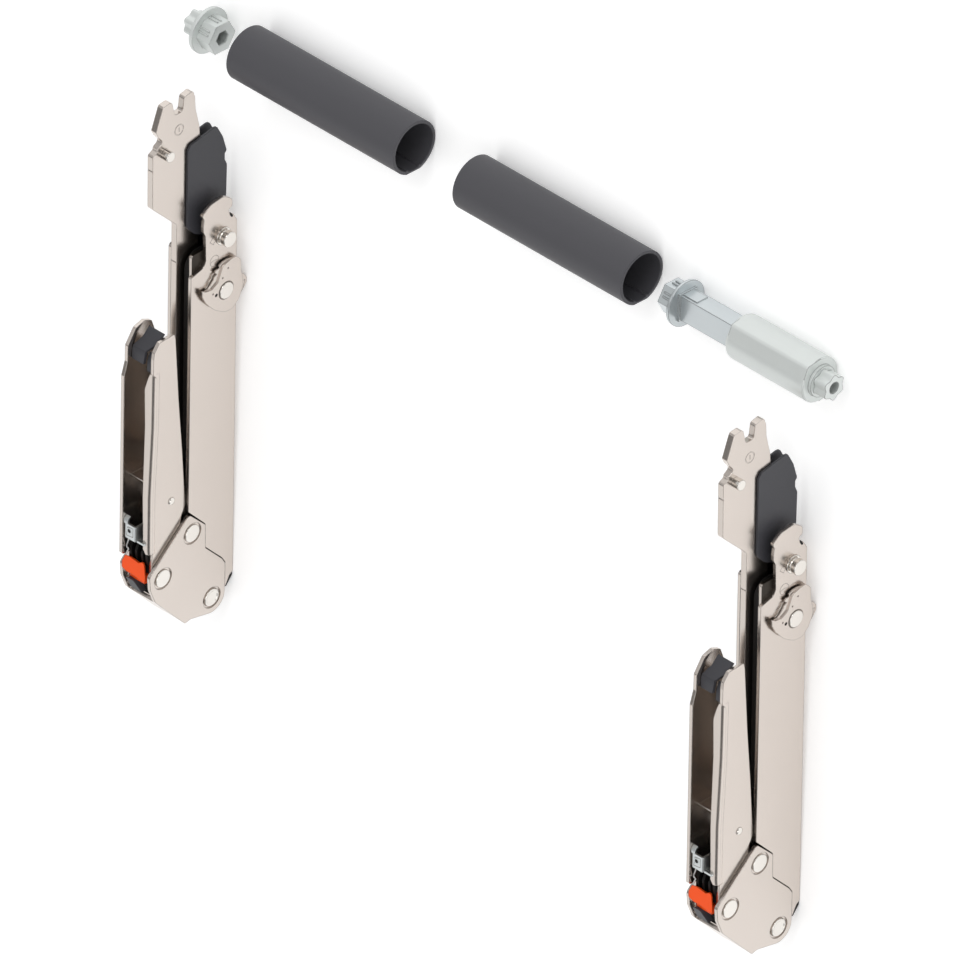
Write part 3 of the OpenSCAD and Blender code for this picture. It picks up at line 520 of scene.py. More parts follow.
def addWire(shape, spots, radius, place=Matrix(), sides=10, between=5):
    path = []
    last = len(spots) - 1
    for k in range(last):
        four = [Vector(spots[max(0, min(last, k + m))]) for m in (-1, 0, 1, 2)]
        path += [splinePoint(four, n / between) for n in range(between)]
    path.append(Vector(spots[-1]))
    rings = []
    side = Vector((1, 0, 0))
    for k, spot in enumerate(path):
        way = (path[min(k + 1, len(path) - 1)] - path[max(k - 1, 0)]).normalized()
        side = (side - way * side.dot(way)).normalized()
        rings.append([spot + radius * (side * math.cos(t) + way.cross(side) * math.sin(t))
                      for t in (2 * math.pi * m / sides for m in range(sides))])
    addLoft(shape, rings, place)


# A thin mark let into a face that looks across the arm
def addMark(shape, loops, face, place, index=1):
    low, high = face - shapeSettings["markSunk"], face + shapeSettings["markProud"]
    addSheet(shape, loops, low, high, acrossSpot, place, index)


# The corners of a stroke with half its width given; reach makes it longer at both ends
def strokeCorners(start, end, half, reach=0):
    way = (Vector(end) - Vector(start)).normalized()
    across, longer = Vector((-way.y, way.x)) * half, way * reach
    start, end = Vector(start) - longer, Vector(end) + longer
    return [tuple(start + across), tuple(end + across), tuple(end - across), tuple(start - across)]


def addStrokes(shape, lines, width, face, place, index=1):
    half = width / 2
    for line in lines:
        for start, end in zip(line, line[1:]):
            addMark(shape, [strokeCorners(start, end, half, half)], face, place, index)


# Nodes that keep the form of their solid and only get broken edges; the widths are in millimetres
edgeWidths = {
    "arm_shell": 0.22, "glide_liner": 0.3, "end_bumper": 0.12, "joint_head": 0.16, "control_link": 0.8,
    "rod": 0.2, "end_plug": 0.25, "coupler_shaft": 0.25, "coupler_sleeve": 0.25,
}


def breakNodeEdges(node, width, body):
    shape = bmesh.new()
    shape.from_mesh(frame["nodes"][node].data)
    bmesh.ops.remove_doubles(shape, verts=shape.verts, dist=1e-6)
    bmesh.ops.dissolve_limit(shape, angle_limit=math.radians(1), verts=shape.verts, edges=shape.edges)
    breakEdges(shape, width)
    name = camelName(node) + "Form"
    slotName = nodeSlots[node]
    dressPiece(name, closeMesh(name, shape), camelName(slotName), slotName, body, node)


def breakAllEdges():
    made = 0
    for body, nodes in frame["record"]["behaviour"]["bodies"].items():
        for node in nodes:
            key = node.removeprefix("left_").removeprefix("right_")
            width = edgeWidths.get("rod" if node.startswith("rod_") else key)
            if width:
                breakNodeEdges(node, width, body)
                made += 1
    print("edges broken:", made)


breakAllEdges()

# Turned pins and rivets: (across, radius) along each profile; a half is repeated on the far side
rivetHalf = [(0, 2), (6.8, 2), (6.8, 3.4), (7.35, 3.4), (7.5, 3.32), (7.68, 2.85), (7.7, 2.6), (7.7, 0)]
pinSettings = {
    "hook_pin": {
        "at": (149.2, 6.7),
        "profile": [(-7.6, 0), (-7.6, 2.6), (-7.4, 2.95), (-7.1, 2.95), (-7.1, 2), (7.1, 2), (7.1, 3.25),
                    (7.25, 3.45), (7.5, 3.45), (7.65, 3.3), (7.65, 2.35), (7.95, 2.2), (8.35, 2.2),
                    (8.6, 2.5), (8.6, 2.8), (8.75, 2.95), (10.45, 2.95), (10.62, 2.88), (10.7, 2.7),
                    (10.7, 0)],
    },
    "cam_pin": {
        "at": (127.5, 6.8),
        "profile": [(-7.6, 0), (-7.6, 2.9), (-7.4, 3.2), (-7.1, 3.2), (-7.1, 2), (8.95, 2), (8.95, 3.2),
                    (9.2, 3.2), (9.38, 3.1), (9.45, 2.9), (9.45, 0)],
    },
    "link_stud": {
        "at": (191, 29.7),
        "body": "_link",
        "profile": [(-1.3, 0), (-1.3, 1.6), (1.3, 1.6), (1.3, 2), (4.1, 2), (4.3, 1.93), (4.4, 1.75),
                    (4.4, 0)],
    },
    "link_rivet": {"at": (31.5, 20.2), "body": "_head", "half": rivetHalf},
    "lever_pin": {"at": (19.3, 34.3), "body": "_head", "half": rivetHalf},
    "drive_rivet": {
        "at": (0, 10.4),
        "half": [(0, 5.1), (4.3, 5.1), (4.3, 3.4), (7.35, 3.4), (7.5, 3.32), (7.68, 2.95), (7.66, 2.7),
                 (7.3, 2.2), (7.25, 1.9), (7.25, 0)],
    },
}
wallRivetSettings = {
    "at": (48.6, 29.2),
    "dome": [(4.0, 0), (4.0, 1), (5.9, 1), (5.9, 1.5), (6.1, 1.47), (6.35, 1.25), (6.52, 0.85), (6.6, 0.4),
             (6.6, 0)],
}


def makePin(side, node, look):
    if "half" in look:
        profile = [(-x, radius) for x, radius in reversed(look["half"])] + look["half"][1:]
    else:
        profile = look["profile"]
    shape = bmesh.new()
    addTurned(shape, profile, look["at"], armPlace(side))
    body = side + look["body"] if "body" in look else "frame"
    replaceNode(side + "_" + node, shape, "platedPin", body, smoothUnder=30)


def makeWallRivets(side):
    shape = bmesh.new()
    for flip in (1, -1):
        dome = [(flip * x, radius) for x, radius in wallRivetSettings["dome"]]
        addTurned(shape, dome, wallRivetSettings["at"], armPlace(side), steps=32)
    replaceNode(side + "_wall_rivets", shape, "platedPin", side + "_head", smoothUnder=50)


for side in armAcross:
    for node, look in pinSettings.items():
        makePin(side, node, look)
    makeWallRivets(side)
print("pins turned")

# Door bracket: corners are (along, height, rounding)
bracketBack = [(115.3, 28, 0.4), (89.4, 26.2, 0), (67.6, 24.2, 0), (44, 22.4, 0.5), (40, 24.4, 1),
               (27, 26, 1), (13, 25.6, 2)]
bracketSettings = {
    "inside": 4.5,
    "outside": 5.9,
    "nearWall": [(7.5, 31.2, 2), (12, 36.6, 1), (19, 38.4, 1.5), (31, 38.2, 0), (54.4, 38.2, 0),
                 (82.8, 36.9, 0), (103.2, 36.8, 0), (105.4, 38.55, 0.8), (111.5, 38.5, 1), (114.3, 38.1, 1),
                 (117.5, 35.7, 1), (117.9, 28.6, 0.4)],
    "farWall": [(7.5, 31.2, 2), (12, 36.6, 1), (17.4, 39, 1), (27.3, 39, 0.4), (27.5, 42.5, 0.8),
                (101.8, 42.5, 0.8), (107.2, 40.9, 0.6), (113.6, 40.8, 1), (119.3, 37, 1.2),
                (120.6, 32.8, 1.4), (119.1, 29.4, 0.6)],
    "backFold": [(46, 24.4), (67.6, 26), (89.4, 28), (111.7, 30.2), (111.7, 31.4), (89.4, 29.2),
                 (67.6, 27.2), (46, 25.6)],
    "lip": [(30.5, 39.9, 4.4), (32.5, 40.1, 3.1), (54.4, 40.1, 2.7), (82.8, 38.8, 2.1), (97.7, 38.65, 1.6),
            (102.5, 38.6, 3.0), (105.2, 38.55, 4.1)],
    "lipBend": 1.7,
    "lipThick": 0.9,
    "lipProud": 0.015,
    "lipReach": 1.2,
    "lipFoot": (0.05, 0.4),
    "lipSeat": 0.1,
    "lipChamfer": (0.1, 0.15),
    "lipHem": 0.5,
    "step": [(58.9, 30), (58.9, 38.7), (59.5, 38.7), (59.5, 30)],
    "foldSeat": 0.6,  # how far the back and the step reach into the walls
    "stepSeat": 0.3,
    "edge": 0.16,
}


# The lip's section at a height: (across, height) from the wall's face over the bend to its inner edge
def lipSection(height, inner):
    look = bracketSettings
    out, bend, thick = look["outside"] + look["lipProud"], look["lipBend"], look["lipThick"]
    inner = min(inner, out - bend - look["lipSeat"])
    foot = height - bend - look["lipReach"]
    (inset, rise), (flat, drop) = look["lipFoot"], look["lipChamfer"]
    outer = arcPoints((out - bend, height - bend), bend, 0, 90, steps=12)
    edge = [(inner + flat, height), (inner, height - drop), (inner, height - thick),
            (inner + look["lipHem"], height - thick)]
    end = (look["inside"] - look["lipSeat"], foot)
    return [(out - inset, foot), (out, foot + rise)] + outer + edge + [end]


def makeBracket(side):
    place, look = armPlace(side), bracketSettings
    inside, outside = look["inside"], look["outside"]
    shape = bmesh.new()
    addPlate(shape, roundedOutline(look["nearWall"] + bracketBack), inside, outside, place)
    addPlate(shape, roundedOutline(look["farWall"] + bracketBack), -outside, -inside, place)
    addPlate(shape, look["backFold"], -inside - look["foldSeat"], inside + look["foldSeat"], place)
    addPlate(shape, look["step"], -inside - look["stepSeat"], inside + look["stepSeat"], place)
    breakEdges(shape, look["edge"])
    addLoft(shape, [[(x, a, z) for x, z in lipSection(h, inner)] for a, h, inner in look["lip"]], place)
    replaceNode(side + "_door_bracket", shape, "platedSheet", side + "_head", smoothUnder=32)


# Clip across the bracket's top: stations are (along, height, far edge, near edge)
clipSettings = {
    "stations": [(119.4, 32.5, -2.5, 4.4), (116.3, 35.4, -2.7, 4.4), (113.3, 38.5, -4.3, 1.7),
                 (111, 38.9, -4.4, 1.7), (108.1, 39.1, -4.2, 1.3)],
    "thick": 1.2,
    "edge": 0.35,
    "tongueAt": (1.9, 4.3),
    "tongue": [(111.5, 34.6), (112.4, 36.4), (109.5, 37.6), (105.2, 37.9), (105.2, 37.2), (108.8, 36.8),
               (110.8, 35.6), (110.6, 34.6)],
}


def makeClip(side):
    place, look = armPlace(side), clipSettings
    shape = bmesh.new()
    rings = []
    stations = look["stations"]
    for k, (a, h, far, near) in enumerate(stations):
        low, high = stations[max(k - 1, 0)], stations[min(k + 1, len(stations) - 1)]
        way = Vector((high[0] - low[0], high[1] - low[1])).normalized()
        under = Vector((a, h)) - Vector((abs(way.y), abs(way.x))) * look["thick"]
        rings.append([(far, a, h), (near, a, h), (near, under.x, under.y), (far, under.x, under.y)])
    addLoft(shape, rings, place)
    breakEdges(shape, look["edge"], steps=3, sharperThan=20)
    addPlate(shape, look["tongue"], *look["tongueAt"], place)
    replaceNode(side + "_snap_clip", shape, "darkGuide", side + "_head", smoothUnder=45)


# Release lever: the tab's plan is (across, along)
leverSettings = {
    "tab": [(-5.9, 23.7, 0.8), (-5.9, 21.2, 0.8), (-3.9, 20.1, 0.6), (-0.8, 19.6, 0), (4.2, 18.2, 0.6),
            (4.3, 21, 0), (3.7, 26.2, 0.7), (2.8, 26.6, 0.4), (1.4, 25.7, 0.4), (-2.8, 26.9, 0.6),
            (-4.5, 26.8, 0.8)],
    "farTop": (-5.9, 41.3),  # (across, height) of the tab's top at both sides
    "nearTop": (4.3, 39.9),
    "thick": 1.3,
    "undercut": 0.82,  # the underside's size as a share of the top's
    "underShift": 1.2,  # times the share that it is smaller, this is how far back its middle lies
    "edge": 0.3,
    "arm": [(17.2, 35.5), (20.6, 35.5), (20.9, 39.5), (17.6, 39.5)],
    "armHalf": 3.6,
    "hub": 3.3,
    "hubHalf": 4.25,
}


def makeLever(side):
    place, look = armPlace(side), leverSettings
    plan = roundedOutline(look["tab"], steps=4)
    (farAt, farTop), (nearAt, nearTop) = look["farTop"], look["nearTop"]
    slope = (nearTop - farTop) / (nearAt - farAt)
    middle = Vector((sum(x for x, a in plan), sum(a for x, a in plan))) / len(plan)

    def layer(down, size):
        centre = middle.y - look["underShift"] * (1 - size)
        return [(middle.x + (x - middle.x) * size, centre + (a - middle.y) * size,
                 farTop + slope * (x - farAt) - down) for x, a in plan]

    shape = bmesh.new()
    addLoft(shape, [layer(0, 1.0), layer(look["thick"], look["undercut"])], place)
    breakEdges(shape, look["edge"], steps=3, sharperThan=50)
    addPlate(shape, look["arm"], -look["armHalf"], look["armHalf"], place)
    hub, half = look["hub"], look["hubHalf"]
    profile = [(-half, 0), (-half, hub), (half, hub), (half, 0)]
    addTurned(shape, profile, pinSettings["lever_pin"]["at"], place, steps=32)
    replaceNode(side + "_release_lever", shape, "orangeTab", side + "_lever", smoothUnder=50)


# Pressed catch plate with its hook and hole; its pressed line is drawn in dark painted shade, and a black
# disc of painted shade fills the hole
catchPlateSettings = {
    "bend": [(-4.45, 39.6), (-4.3, 41.2), (-3.9, 41.8), (-3.2, 42.05), (1.0, 42.05), (1.3, 41.8), (1.3, 30),
             (0.6, 30), (0.6, 41.25), (-3.0, 41.25), (-3.5, 41.0), (-3.7, 39.6)],
    "span": (35.1, 41.1),
    "hook": [(40.8, 41.3), (40.8, 42.05), (42.0, 42.1), (43.0, 41.6), (43.6, 40.6), (43.0, 40.4),
             (42.5, 41.2), (41.8, 41.4)],
    "hookAt": (-4.4, -2.4),
    "strip": [(34.5, 38.4), (34.5, 41), (35.3, 41), (35.3, 38.4)],
    "stripAt": (1.0, 4.6),
    "hole": (-1.6, 38.5),
    "holeRadius": 0.8,
    "rimRadius": 1.2,
    "rimAt": (42.0, 42.12),
    "panel": [(-2.9, 36.2), (0.2, 36.6), (0.2, 40.2), (-2.4, 39.9)],
    "lineHalf": 0.08,
    "lineAt": (41.9, 42.07),  # heights of the pressed line and of the black disc in the hole, both painted shade
    "edge": 0.1,
}


def makeCatchPlate(side):
    place, look = armPlace(side), catchPlateSettings
    shape = bmesh.new()
    addLoft(shape, [[(x, a, h) for x, h in look["bend"]] for a in look["span"]], place)
    addPlate(shape, look["hook"], *look["hookAt"], place)
    breakEdges(shape, look["edge"], sharperThan=40)
    addPlate(shape, look["strip"], *look["stripAt"], place)
    rim = circlePoints(look["hole"], look["rimRadius"], 24)
    hole = circlePoints(look["hole"], look["holeRadius"], 24)
    addSheet(shape, [rim, hole], *look["rimAt"], heightSpot, place)
    # black disc in the hole and dark pressed line: painted shade
    addSheet(shape, [hole], *look["lineAt"], heightSpot, place, index=1)
    panel = look["panel"]
    for start, end in zip(panel, panel[1:] + panel[:1]):
        stroke = strokeCorners(start, end, look["lineHalf"])
        addSheet(shape, [stroke], *look["lineAt"], heightSpot, place, index=2)
    finish = ["zincPlate", "blackRunner", "scribed"]
    replaceNode(side + "_catch_plate", shape, finish, side + "_head", smoothUnder=30)


# Ribbed housing under the catch plate, with a hood round the lever's pin
housingSettings = {
    "half": 4.45,
    "hood": (3.9, 5.1, -35, 56),  # inner and outer radius, first and last angle
    "block": [(27, 27, 0.8), (33.8, 27, 0.8), (33.8, 36, 0.8), (24.6, 36, 0.8), (23.4, 31, 0.8)],
    "rib": [(23.6, 34, 0.4), (33.4, 34, 0.4), (33.2, 37.2, 0.6), (29.4, 39.1, 1.5), (26.6, 38.9, 1.5),
            (23.6, 37.8, 0.6)],
    "ribsAt": (-4.4, -1.7, 1.2, 3.4),
    "ribThick": 1.0,
    "edge": 0.2,
}


def makeCatchHousing(side):
    place, look = armPlace(side), housingSettings
    pin, half = pinSettings["lever_pin"]["at"], look["half"]
    inner, outer, start, end = look["hood"]
    hood = arcPoints(pin, inner, start, end, steps=10) + arcPoints(pin, outer, end, start, steps=10)
    shape = bmesh.new()
    addPlate(shape, hood, -half, half, place)
    addPlate(shape, roundedOutline(look["block"]), -half, half, place)
    for x in look["ribsAt"]:
        addPlate(shape, roundedOutline(look["rib"]), x, x + look["ribThick"], place)
    breakEdges(shape, look["edge"], sharperThan=40)
    replaceNode(side + "_catch_housing", shape, "blackRunner", side + "_head")


leverSpringSettings = {
    "radius": 0.3,
    "route": [(-2.6, 35.4, 41.4), (-3.0, 33.8, 40.9), (-3.9, 31.2, 40.8), (-3.9, 30.2, 40.8),
              (-3.0, 29.8, 40.9), (-3.4, 28.9, 41.0), (-3.9, 27.6, 41.0)],
}


def makeLeverSpring(side):
    shape = bmesh.new()
    addWire(shape, leverSpringSettings["route"], leverSpringSettings["radius"], armPlace(side))
    replaceNode(side + "_lever_spring", shape, "springWire", side + "_head", smoothUnder=70)


# Latch jaw: a sloping tongue, a back and the bright end of its pin; only the tongue's top keeps the dark
# grey, and its other faces are black as painted shade
jawSettings = {
    "tongue": [(-4.4, 17.3), (-3.2, 17.9), (-0.6, 17.6), (0.0, 15.5), (0.8, 12.0), (-4.4, 12.0)],
    "tongueTop": (12.2, 38.2),  # (along, height) of a point on its top, and how fast the top climbs
    "tongueSlope": 0.49,
    "tongueThick": 3.5,
    "back": [(9.8, 33.9), (10.6, 35.4), (14.5, 36.6), (15.7, 36.2), (15.4, 33.4), (12, 33)],
    "backRound": 0.4,
    "backHalf": 4.45,
    "edge": 0.2,
    "pin": (16.9, 38.3),
    "pinProfile": [(-4.4, 0), (-4.4, 1.05), (-1.6, 1.05), (-1.4, 0.9), (-1.4, 0)],
    "pinEnds": -1.3,
    "pinReach": 1.2,
    "mostCorners": 24,  # a face with more corners is part of the tongue
    "darkUpTo": 0.9,  # the tongue's top faces, kept dark grey: across less than this and higher than the next; the other faces are black painted shade
    "darkAbove": 36.5,
}


def jawFinishIndex(face, toArm):
    look = jawSettings
    middle = sum((toArm @ vert.co / milli for vert in face.verts), Vector()) / len(face.verts)
    fromPin = (Vector((middle.y, middle.z)) - Vector(look["pin"])).length
    if fromPin < look["pinReach"] and middle.x < look["pinEnds"] and len(face.verts) <= look["mostCorners"]:
        return 2
    # the tongue's top keeps the dark grey; every other face is black, painted shade on the tongue's sides and
    # underside and the black of the back
    return 0 if middle.x < look["darkUpTo"] and middle.z > look["darkAbove"] else 1


def makeLatchJaw(side):
    place, look = armPlace(side), jawSettings
    along, height = look["tongueTop"]
    shape = bmesh.new()
    addLoft(shape, [[(x, a, height + look["tongueSlope"] * (a - along) - down) for x, a in look["tongue"]]
                    for down in (0, look["tongueThick"])], place)
    back = roundedOutline([(a, h, look["backRound"]) for a, h in look["back"]])
    addPlate(shape, back, -look["backHalf"], look["backHalf"], place)
    breakEdges(shape, look["edge"], sharperThan=40)
    addTurned(shape, look["pinProfile"], look["pin"], place, steps=24)
    for face in shape.faces:
        face.material_index = jawFinishIndex(face, place.inverted())
    finish = ["darkGuide", "blackRunner", "platedPin"]
    replaceNode(side + "_latch_jaw", shape, finish, side + "_head")


# Lock cam in two layers: corners are (along, height, rounding) from its pin
camSettings = {
    "pin": (127.8, 7.1),
    "upper": [(11.7, -4.9, 0.3), (10.5, -6.4, 0.6), (9.2, -7.4, 0.3), (4.0, -7.7, 0.3), (1.2, -8.4, 2),
              (-2.5, -8.6, 3), (-7.0, -6.6, 3), (-9.4, -3.4, 2), (-9.2, 0, 3), (-8.1, 2.1, 3),
              (-5.9, 5.4, 3), (-1.4, 9.4, 3), (2.1, 11.2, 0.8), (4.6, 11.3, 0.3), (3.4, 9.6, 0.2),
              (2.9, 6.5, 0.6), (4.5, 3.6, 0.6), (6.7, 2.7, 0.2), (7.7, 2.3, 0.3), (9.7, 1.6, 0.2),
              (10.6, 0.4, 0.2), (11.4, -2.2, 1)],
    "lower": [(11.0, -5.0, 0.4), (3.0, -7.9, 0.3), (2.5, -8.4, 0.3), (1.9, -9.6, 0.6), (0.2, -10.8, 0.8),
              (-2.0, -10.9, 0.8), (-7.9, -6.1, 1), (-8.8, -2, 2), (-7.4, 2.6, 3), (-5, 5.6, 3),
              (-0.6, 9.2, 2), (3.3, 9.8, 0.3), (3.5, 7.9, 0.3), (4.4, 6.9, 0.2), (6.3, 5.1, 0.2),
              (7.1, 4.9, 0.2), (7.8, 3.4, 0.2), (8.6, 4.6, 0.2), (9.6, 4.1, 0.2), (9.6, 2.4, 0.2),
              (10.8, 2.6, 0.2), (11.5, 1.2, 0.3), (11.7, -1.5, 1)],
    "layers": (7.75, 8.35, 8.95),
    "layerGap": 0.02,
    "stem": 2.05,
    "eye": (-0.3, 4.4),
    "eyeRadius": 0.65,
    # heights of the black disc that fills the eye: painted shade
    "eyeAt": (7.85, 8.8),
    # the dimples, the ring round the pin and the lobe's arrow are dark marks: painted shade
    "dimples": [(8.5, -1.2), (5.5, 1.4), (0.9, 6.0)],
    "dimpleRadius": 0.38,
    "pinRing": (3.62, 3.05),
    "pinRingAt": (-0.3, -0.3),
    "lineWidth": 0.14,
    "edge": 0.12,
    "lobeArrow": [(-0.7, -10.0), (-0.7, -8.9), (-3.2, -8.6), (-3.3, -7.6), (-4.7, -8.3), (-3.6, -9.6),
                  (-3.4, -9.2), (-0.7, -10.0)],
}


def aroundCamPin(points):
    return [tuple(Vector(camSettings["pin"]) + Vector(point[:2])) for point in points]


def makeCam(side):
    place, look = armPlace(side), camSettings
    low, middle, top = look["layers"]
    stem = aroundCamPin(circlePoints((0, 0), look["stem"], 24, way=-1))
    eye = aroundCamPin(circlePoints(look["eye"], look["eyeRadius"], 12, way=-1))
    shape = bmesh.new()
    for name, start, end in (("lower", low, middle), ("upper", middle + look["layerGap"], top)):
        outline = aroundCamPin(roundedOutline(look[name], steps=4))
        addSheet(shape, [outline, stem, eye], start, end, acrossSpot, place)
    breakEdges(shape, look["edge"], sharperThan=60)
    # dark dimples, a dark ring round the pin and a dark arrow: painted shade of recesses and the gap
    for spot in look["dimples"]:
        addMark(shape, [aroundCamPin(circlePoints(spot, look["dimpleRadius"], 12))], top, place)
    ring = [aroundCamPin(circlePoints(look["pinRingAt"], radius, 30, way=-1)) for radius in look["pinRing"]]
    addMark(shape, ring, top, place)
    addStrokes(shape, [aroundCamPin(look["lobeArrow"])], look["lineWidth"], middle, place)
    # a black disc fills the eye: painted shade in the hole
    addSheet(shape, [eye], *look["eyeAt"], acrossSpot, place, index=2)
    finish = ["platedSheet", "scribed", "blackRunner"]
    replaceNode(side + "_lock_cam", shape, finish, side + "_cam", smoothUnder=30)


# Engraved marks on the shell's near plate, an outlined arrow and a ring with a bar, drawn in dark painted
# groove shade; a black spot at the neck is painted shade in the notch
markSettings = {
    "face": 7.1,
    "arrow": [(151.0, 11.3), (149.2, 13.1), (147.6, 11.3), (148.5, 11.0), (148.5, 9.2), (150.0, 9.2),
              (150.1, 11.2), (151.0, 11.3)],
    "ring": ((140.7, 10.8), 2.1),
    "bar": [(140.5, 12.6), (141.0, 10.7), (140.4, 9.0)],
    "lineWidth": 0.14,
    "neckSpot": [(157.6, 3.7), (157.0, 3.0), (155.6, 2.0), (155.0, 2.1), (155.2, 2.9), (156.2, 3.5)],
    "neckSpotAt": (7.08, 7.12),
}


def makeMarks(side):
    place, look = armPlace(side), markSettings
    shape = bmesh.new()
    ring = arcPoints(*look["ring"], 0, 360, steps=28)
    addStrokes(shape, [look["arrow"], ring, look["bar"]], look["lineWidth"], look["face"], place, index=0)
    # black spot in the neck's notch: painted shade
    addSheet(shape, [look["neckSpot"]], *look["neckSpotAt"], acrossSpot, place, index=1)
    name = camelName(side + "_shell_marks")
    mesh = closeMesh(name, shape, smoothUnder=30)
    dressPiece(name, mesh, ["scribed", "blackRunner"], "plated_sheet", "frame")


# Inner channel with the eye round the drive rivet; its faces that look across or along the arm are painted
# dark as shade
channelSettings = {
    "eye": ((0, 10.4), 6.1),
    "throat": (2, 4, 0),
    "plate": [(22, 14.9, 0), (35, 14.9, 1), (43, 20.4, 1), (146.3, 20.4, 1.3), (146.3, 1.4, 0),
              (9, 1.4, 0)],
    "plateAt": (4.3, 5.7),
    "back": [(31.5, 1.4), (144.5, 1.4), (144.5, 2.4), (31.5, 2.4)],
    "backHalf": 5,
    "edge": 0.2,
}


def makeChannel(side):
    place, look = armPlace(side), channelSettings
    inner, outer = look["plateAt"]
    eye = arcPoints(*look["eye"], 270, 100, steps=16)
    outline = eye + roundedOutline([look["throat"]] + look["plate"])[1:]
    shape = bmesh.new()
    addPlate(shape, outline, inner, outer, place)
    addPlate(shape, outline, -outer, -inner, place)
    addPlate(shape, look["back"], -look["backHalf"], look["backHalf"], place)
    breakEdges(shape, look["edge"])
    shape.normal_update()
    # faces that look towards +across or +along take the dark sheet: painted shade between the plates
    for face in shape.faces:
        face.material_index = int(face.normal.x > 0.9 or face.normal.y > 0.8)
    replaceNode(side + "_arm_frame", shape, ["platedSheet", "shadedSheet"], "frame")


# Two cheeks that take the hooked link between them, joined by a spine and carried by bosses
cheekSettings = {
    "cheek": [(145.5, 2.8, 1.5), (161.3, 0.6, 0.5), (173.6, 0.4, 0.6), (176.2, 1.5, 1), (178.6, 1.5, 0.8),
              (179.6, 0.6, 1), (186.2, 2.6, 3), (191.4, 5.4, 1), (191.6, 6.8, 0.8), (189.6, 18, 1.5),
              (187.6, 19.4, 1), (155.8, 19.4, 3), (151.6, 15.6, 2.5), (149, 10.2, 1)],
    "cheekAt": (1.45, 2.25),
    "spine": [(145.7, 3.4, 0.5), (169.3, 1.6, 0.5), (169.3, 7.5, 2), (149.5, 9.8, 0.5)],
    "spineInset": 0.3,
    "boss": (149.3, 7.1),
    "bossRadius": 3.4,
    "bossAt": (2.15, 5.6),
    "edge": 0.14,
}


def makeCheeks(side):
    place, look = armPlace(side), cheekSettings
    inner, outer = look["cheekAt"]
    outline = roundedOutline(look["cheek"], steps=6)
    shape = bmesh.new()
    addPlate(shape, outline, inner, outer, place)
    addPlate(shape, outline, -outer, -inner, place)
    breakEdges(shape, look["edge"])
    half = outer - look["spineInset"]
    addPlate(shape, roundedOutline(look["spine"]), -half, half, place)
    start, end = look["bossAt"]
    radius = look["bossRadius"]
    for flip in (1, -1):
        profile = [(flip * x, size) for x, size in ((start, 0), (start, radius), (end, radius), (end, 0))]
        addTurned(shape, profile, look["boss"], place)
    replaceNode(side + "_guide_cheeks", shape, "darkGuide", "frame")


# Washer behind the cam: corners are (along, height, rounding) from the cam's pin
washerSettings = {
    "outline": [(-6, -1, 2), (-4.6, 4, 2), (-0.5, 7.4, 1), (3.6, 8.4, 0.4), (4.4, 7.2, 0.3),
                (5.6, 6.9, 0.3), (6.6, 5.6, 0.3), (8.2, 5.2, 0.3), (8.6, 2, 2), (5, -5, 3), (-4, -6, 3)],
    "at": (7.12, 7.6),
}


def makeCamWasher(side):
    shape = bmesh.new()
    outline = aroundCamPin(roundedOutline(washerSettings["outline"]))
    addPlate(shape, outline, *washerSettings["at"], armPlace(side))
    replaceNode(side + "_cam_washer", shape, "platedSheet", "frame")


for side in armAcross:
    makeBracket(side)
    makeClip(side)
    makeLever(side)
    makeCatchPlate(side)
    makeCatchHousing(side)
    makeLeverSpring(side)
    makeLatchJaw(side)
    makeCam(side)
    makeChannel(side)
    makeCheeks(side)
    makeCamWasher(side)
    makeMarks(side)
print("arm pieces built")

# The coupler's spring at the length it has with the sleeve pushed in, so that it stays inside at every pose
couplerSpringSettings = {
    "turns": 9,
    "perTurn": 8,
    "wire": 0.8,
    "pushedIn": 18.2,  # how much shorter it is than at rest
}


def makeCouplerSpring():
    look, node = couplerSpringSettings, frame["nodes"]["coupler_spring"]
    spots = [node.matrix_world @ vert.co / milli for vert in node.data.vertices]
    low = Vector([min(spot[k] for spot in spots) for k in range(3)])
    high = Vector([max(spot[k] for spot in spots) for k in range(3)])
    middle, ring = (low + high) / 2, (high.y - low.y - look["wire"]) / 2
    start, length = low.x + look["wire"] / 2, high.x - low.x - look["wire"] - look["pushedIn"]
    steps = look["turns"] * look["perTurn"]
    coil = [(start + length * k / steps, *polar((middle.y, middle.z), ring, 360 * k / look["perTurn"]))
            for k in range(steps + 1)]
    shape = bmesh.new()
    addWire(shape, coil, look["wire"] / 2, between=2)
    replaceNode("coupler_spring", shape, "springWire", "frame", smoothUnder=70)


makeCouplerSpring()

# Studio: white floor and sky, one soft light from the arms' top end and one from the side
studioSettings = {
    "floorSize": 12,
    "floorDrop": 0.0002,
    "floorColour": (0.97, 0.97, 0.97),
    "floorRough": 0.9,
    "floorSpecular": 0.1,
    "floorLift": 0.22,
    "skyLevel": 0.82,
    "cards": [  # dark cards that the plating mirrors along its broken edges
        {"toward": (-1, 1, 0.9), "inner": 0.97, "outer": 0.86, "level": 0.5},
        {"toward": (-0.58, -0.1, 0.81), "inner": 0.98, "outer": 0.93, "level": 0.2},
        {"toward": (1, -1, 0.9), "inner": 0.97, "outer": 0.84, "level": 0.1},
        {"toward": (1, 0.65, 0.65), "inner": 0.95, "outer": 0.83, "level": 0.08},
    ],
    "lamps": {
        "topLight": {"place": (0.2, 1.6, 1.2), "size": (1.2, 0.8), "power": 8},
        "sideLight": {"place": (1.6, -0.2, 0.9), "size": (1.2, 1.0), "power": 4},
    },
}


# 1 for the rays by which the camera and the metal see the background
def seenRays(tree, rays):
    return addMath(tree, "MAXIMUM", rays.outputs["Is Camera Ray"], rays.outputs["Is Glossy Ray"])


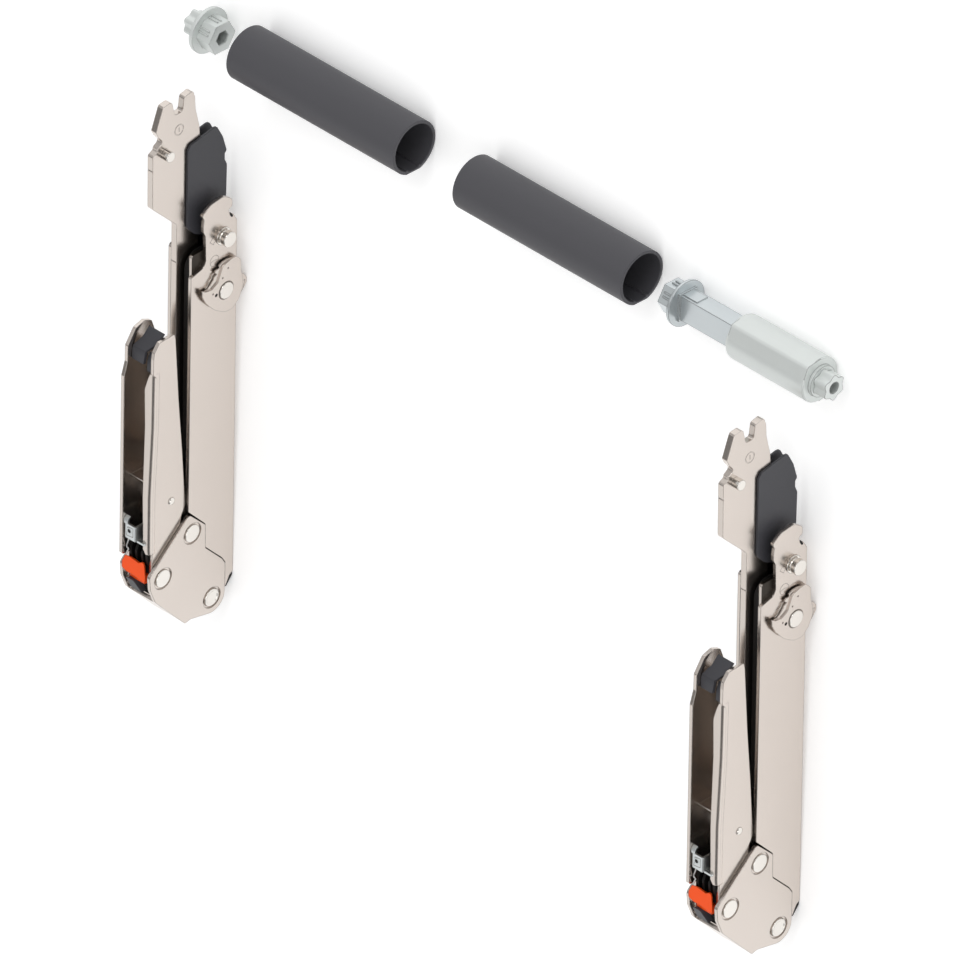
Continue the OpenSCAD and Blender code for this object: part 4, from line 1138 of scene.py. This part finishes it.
def makeFloor():
    look = studioSettings
    bpy.ops.mesh.primitive_plane_add(size=look["floorSize"], location=(0, 0, -look["floorDrop"]))
    floor = bpy.context.object
    floor.name = "studioFloor"
    material = bpy.data.materials.new("studioFloor")
    material.use_nodes = True
    tree = material.node_tree
    shader = tree.nodes["Principled BSDF"]
    shader.inputs["Base Color"].default_value = (*look["floorColour"], 1)
    shader.inputs["Roughness"].default_value = look["floorRough"]
    shader.inputs["Specular IOR Level"].default_value = look["floorSpecular"]
    shader.inputs["Emission Color"].default_value = (1, 1, 1, 1)
    lift = addMath(tree, "MULTIPLY", seenRays(tree, addNode(tree, "LightPath")), look["floorLift"])
    tree.links.new(lift, shader.inputs["Emission Strength"])
    floor.data.materials.append(material)


def makeSky():
    world = bpy.data.worlds.new("studioSky")
    bpy.context.scene.world = world
    world.use_nodes = True
    tree = world.node_tree
    sky = tree.nodes["Background"]
    way = addNode(tree, "TexCoord").outputs["Generated"]
    shade = 1.0
    for card in studioSettings["cards"]:
        toCard = addDotProduct(tree, way)
        toCard.inputs[1].default_value = Vector(card["toward"]).normalized()
        fade = addRange(tree, toCard.outputs["Value"], card["outer"], card["inner"], 1, card["level"])
        shade = addMath(tree, "MULTIPLY", fade, shade)
    rays = addNode(tree, "LightPath")
    level = studioSettings["skyLevel"]
    seen = addMath(tree, "MULTIPLY", seenRays(tree, rays), 1 - level)
    tree.links.new(addMath(tree, "ADD", seen, level), sky.inputs["Strength"])
    darker = addMath(tree, "MULTIPLY", addMath(tree, "SUBTRACT", 1.0, shade), rays.outputs["Is Glossy Ray"])
    tree.links.new(addMath(tree, "SUBTRACT", 1.0, darker), sky.inputs["Color"])


def makeLamp(name, look):
    lamp = bpy.data.lights.new(name, "AREA")
    lamp.shape = "RECTANGLE"
    lamp.size, lamp.size_y = look["size"]
    lamp.energy = look["power"]
    holder = bpy.data.objects.new(name, lamp)
    bpy.context.scene.collection.objects.link(holder)
    holder.location = look["place"]
    holder.rotation_euler = (-Vector(look["place"])).to_track_quat("-Z", "Y").to_euler()


makeFloor()
makeSky()
for name, look in studioSettings["lamps"].items():
    makeLamp(name, look)
bpy.context.scene.view_settings.view_transform = "Standard"
print("studio ready")
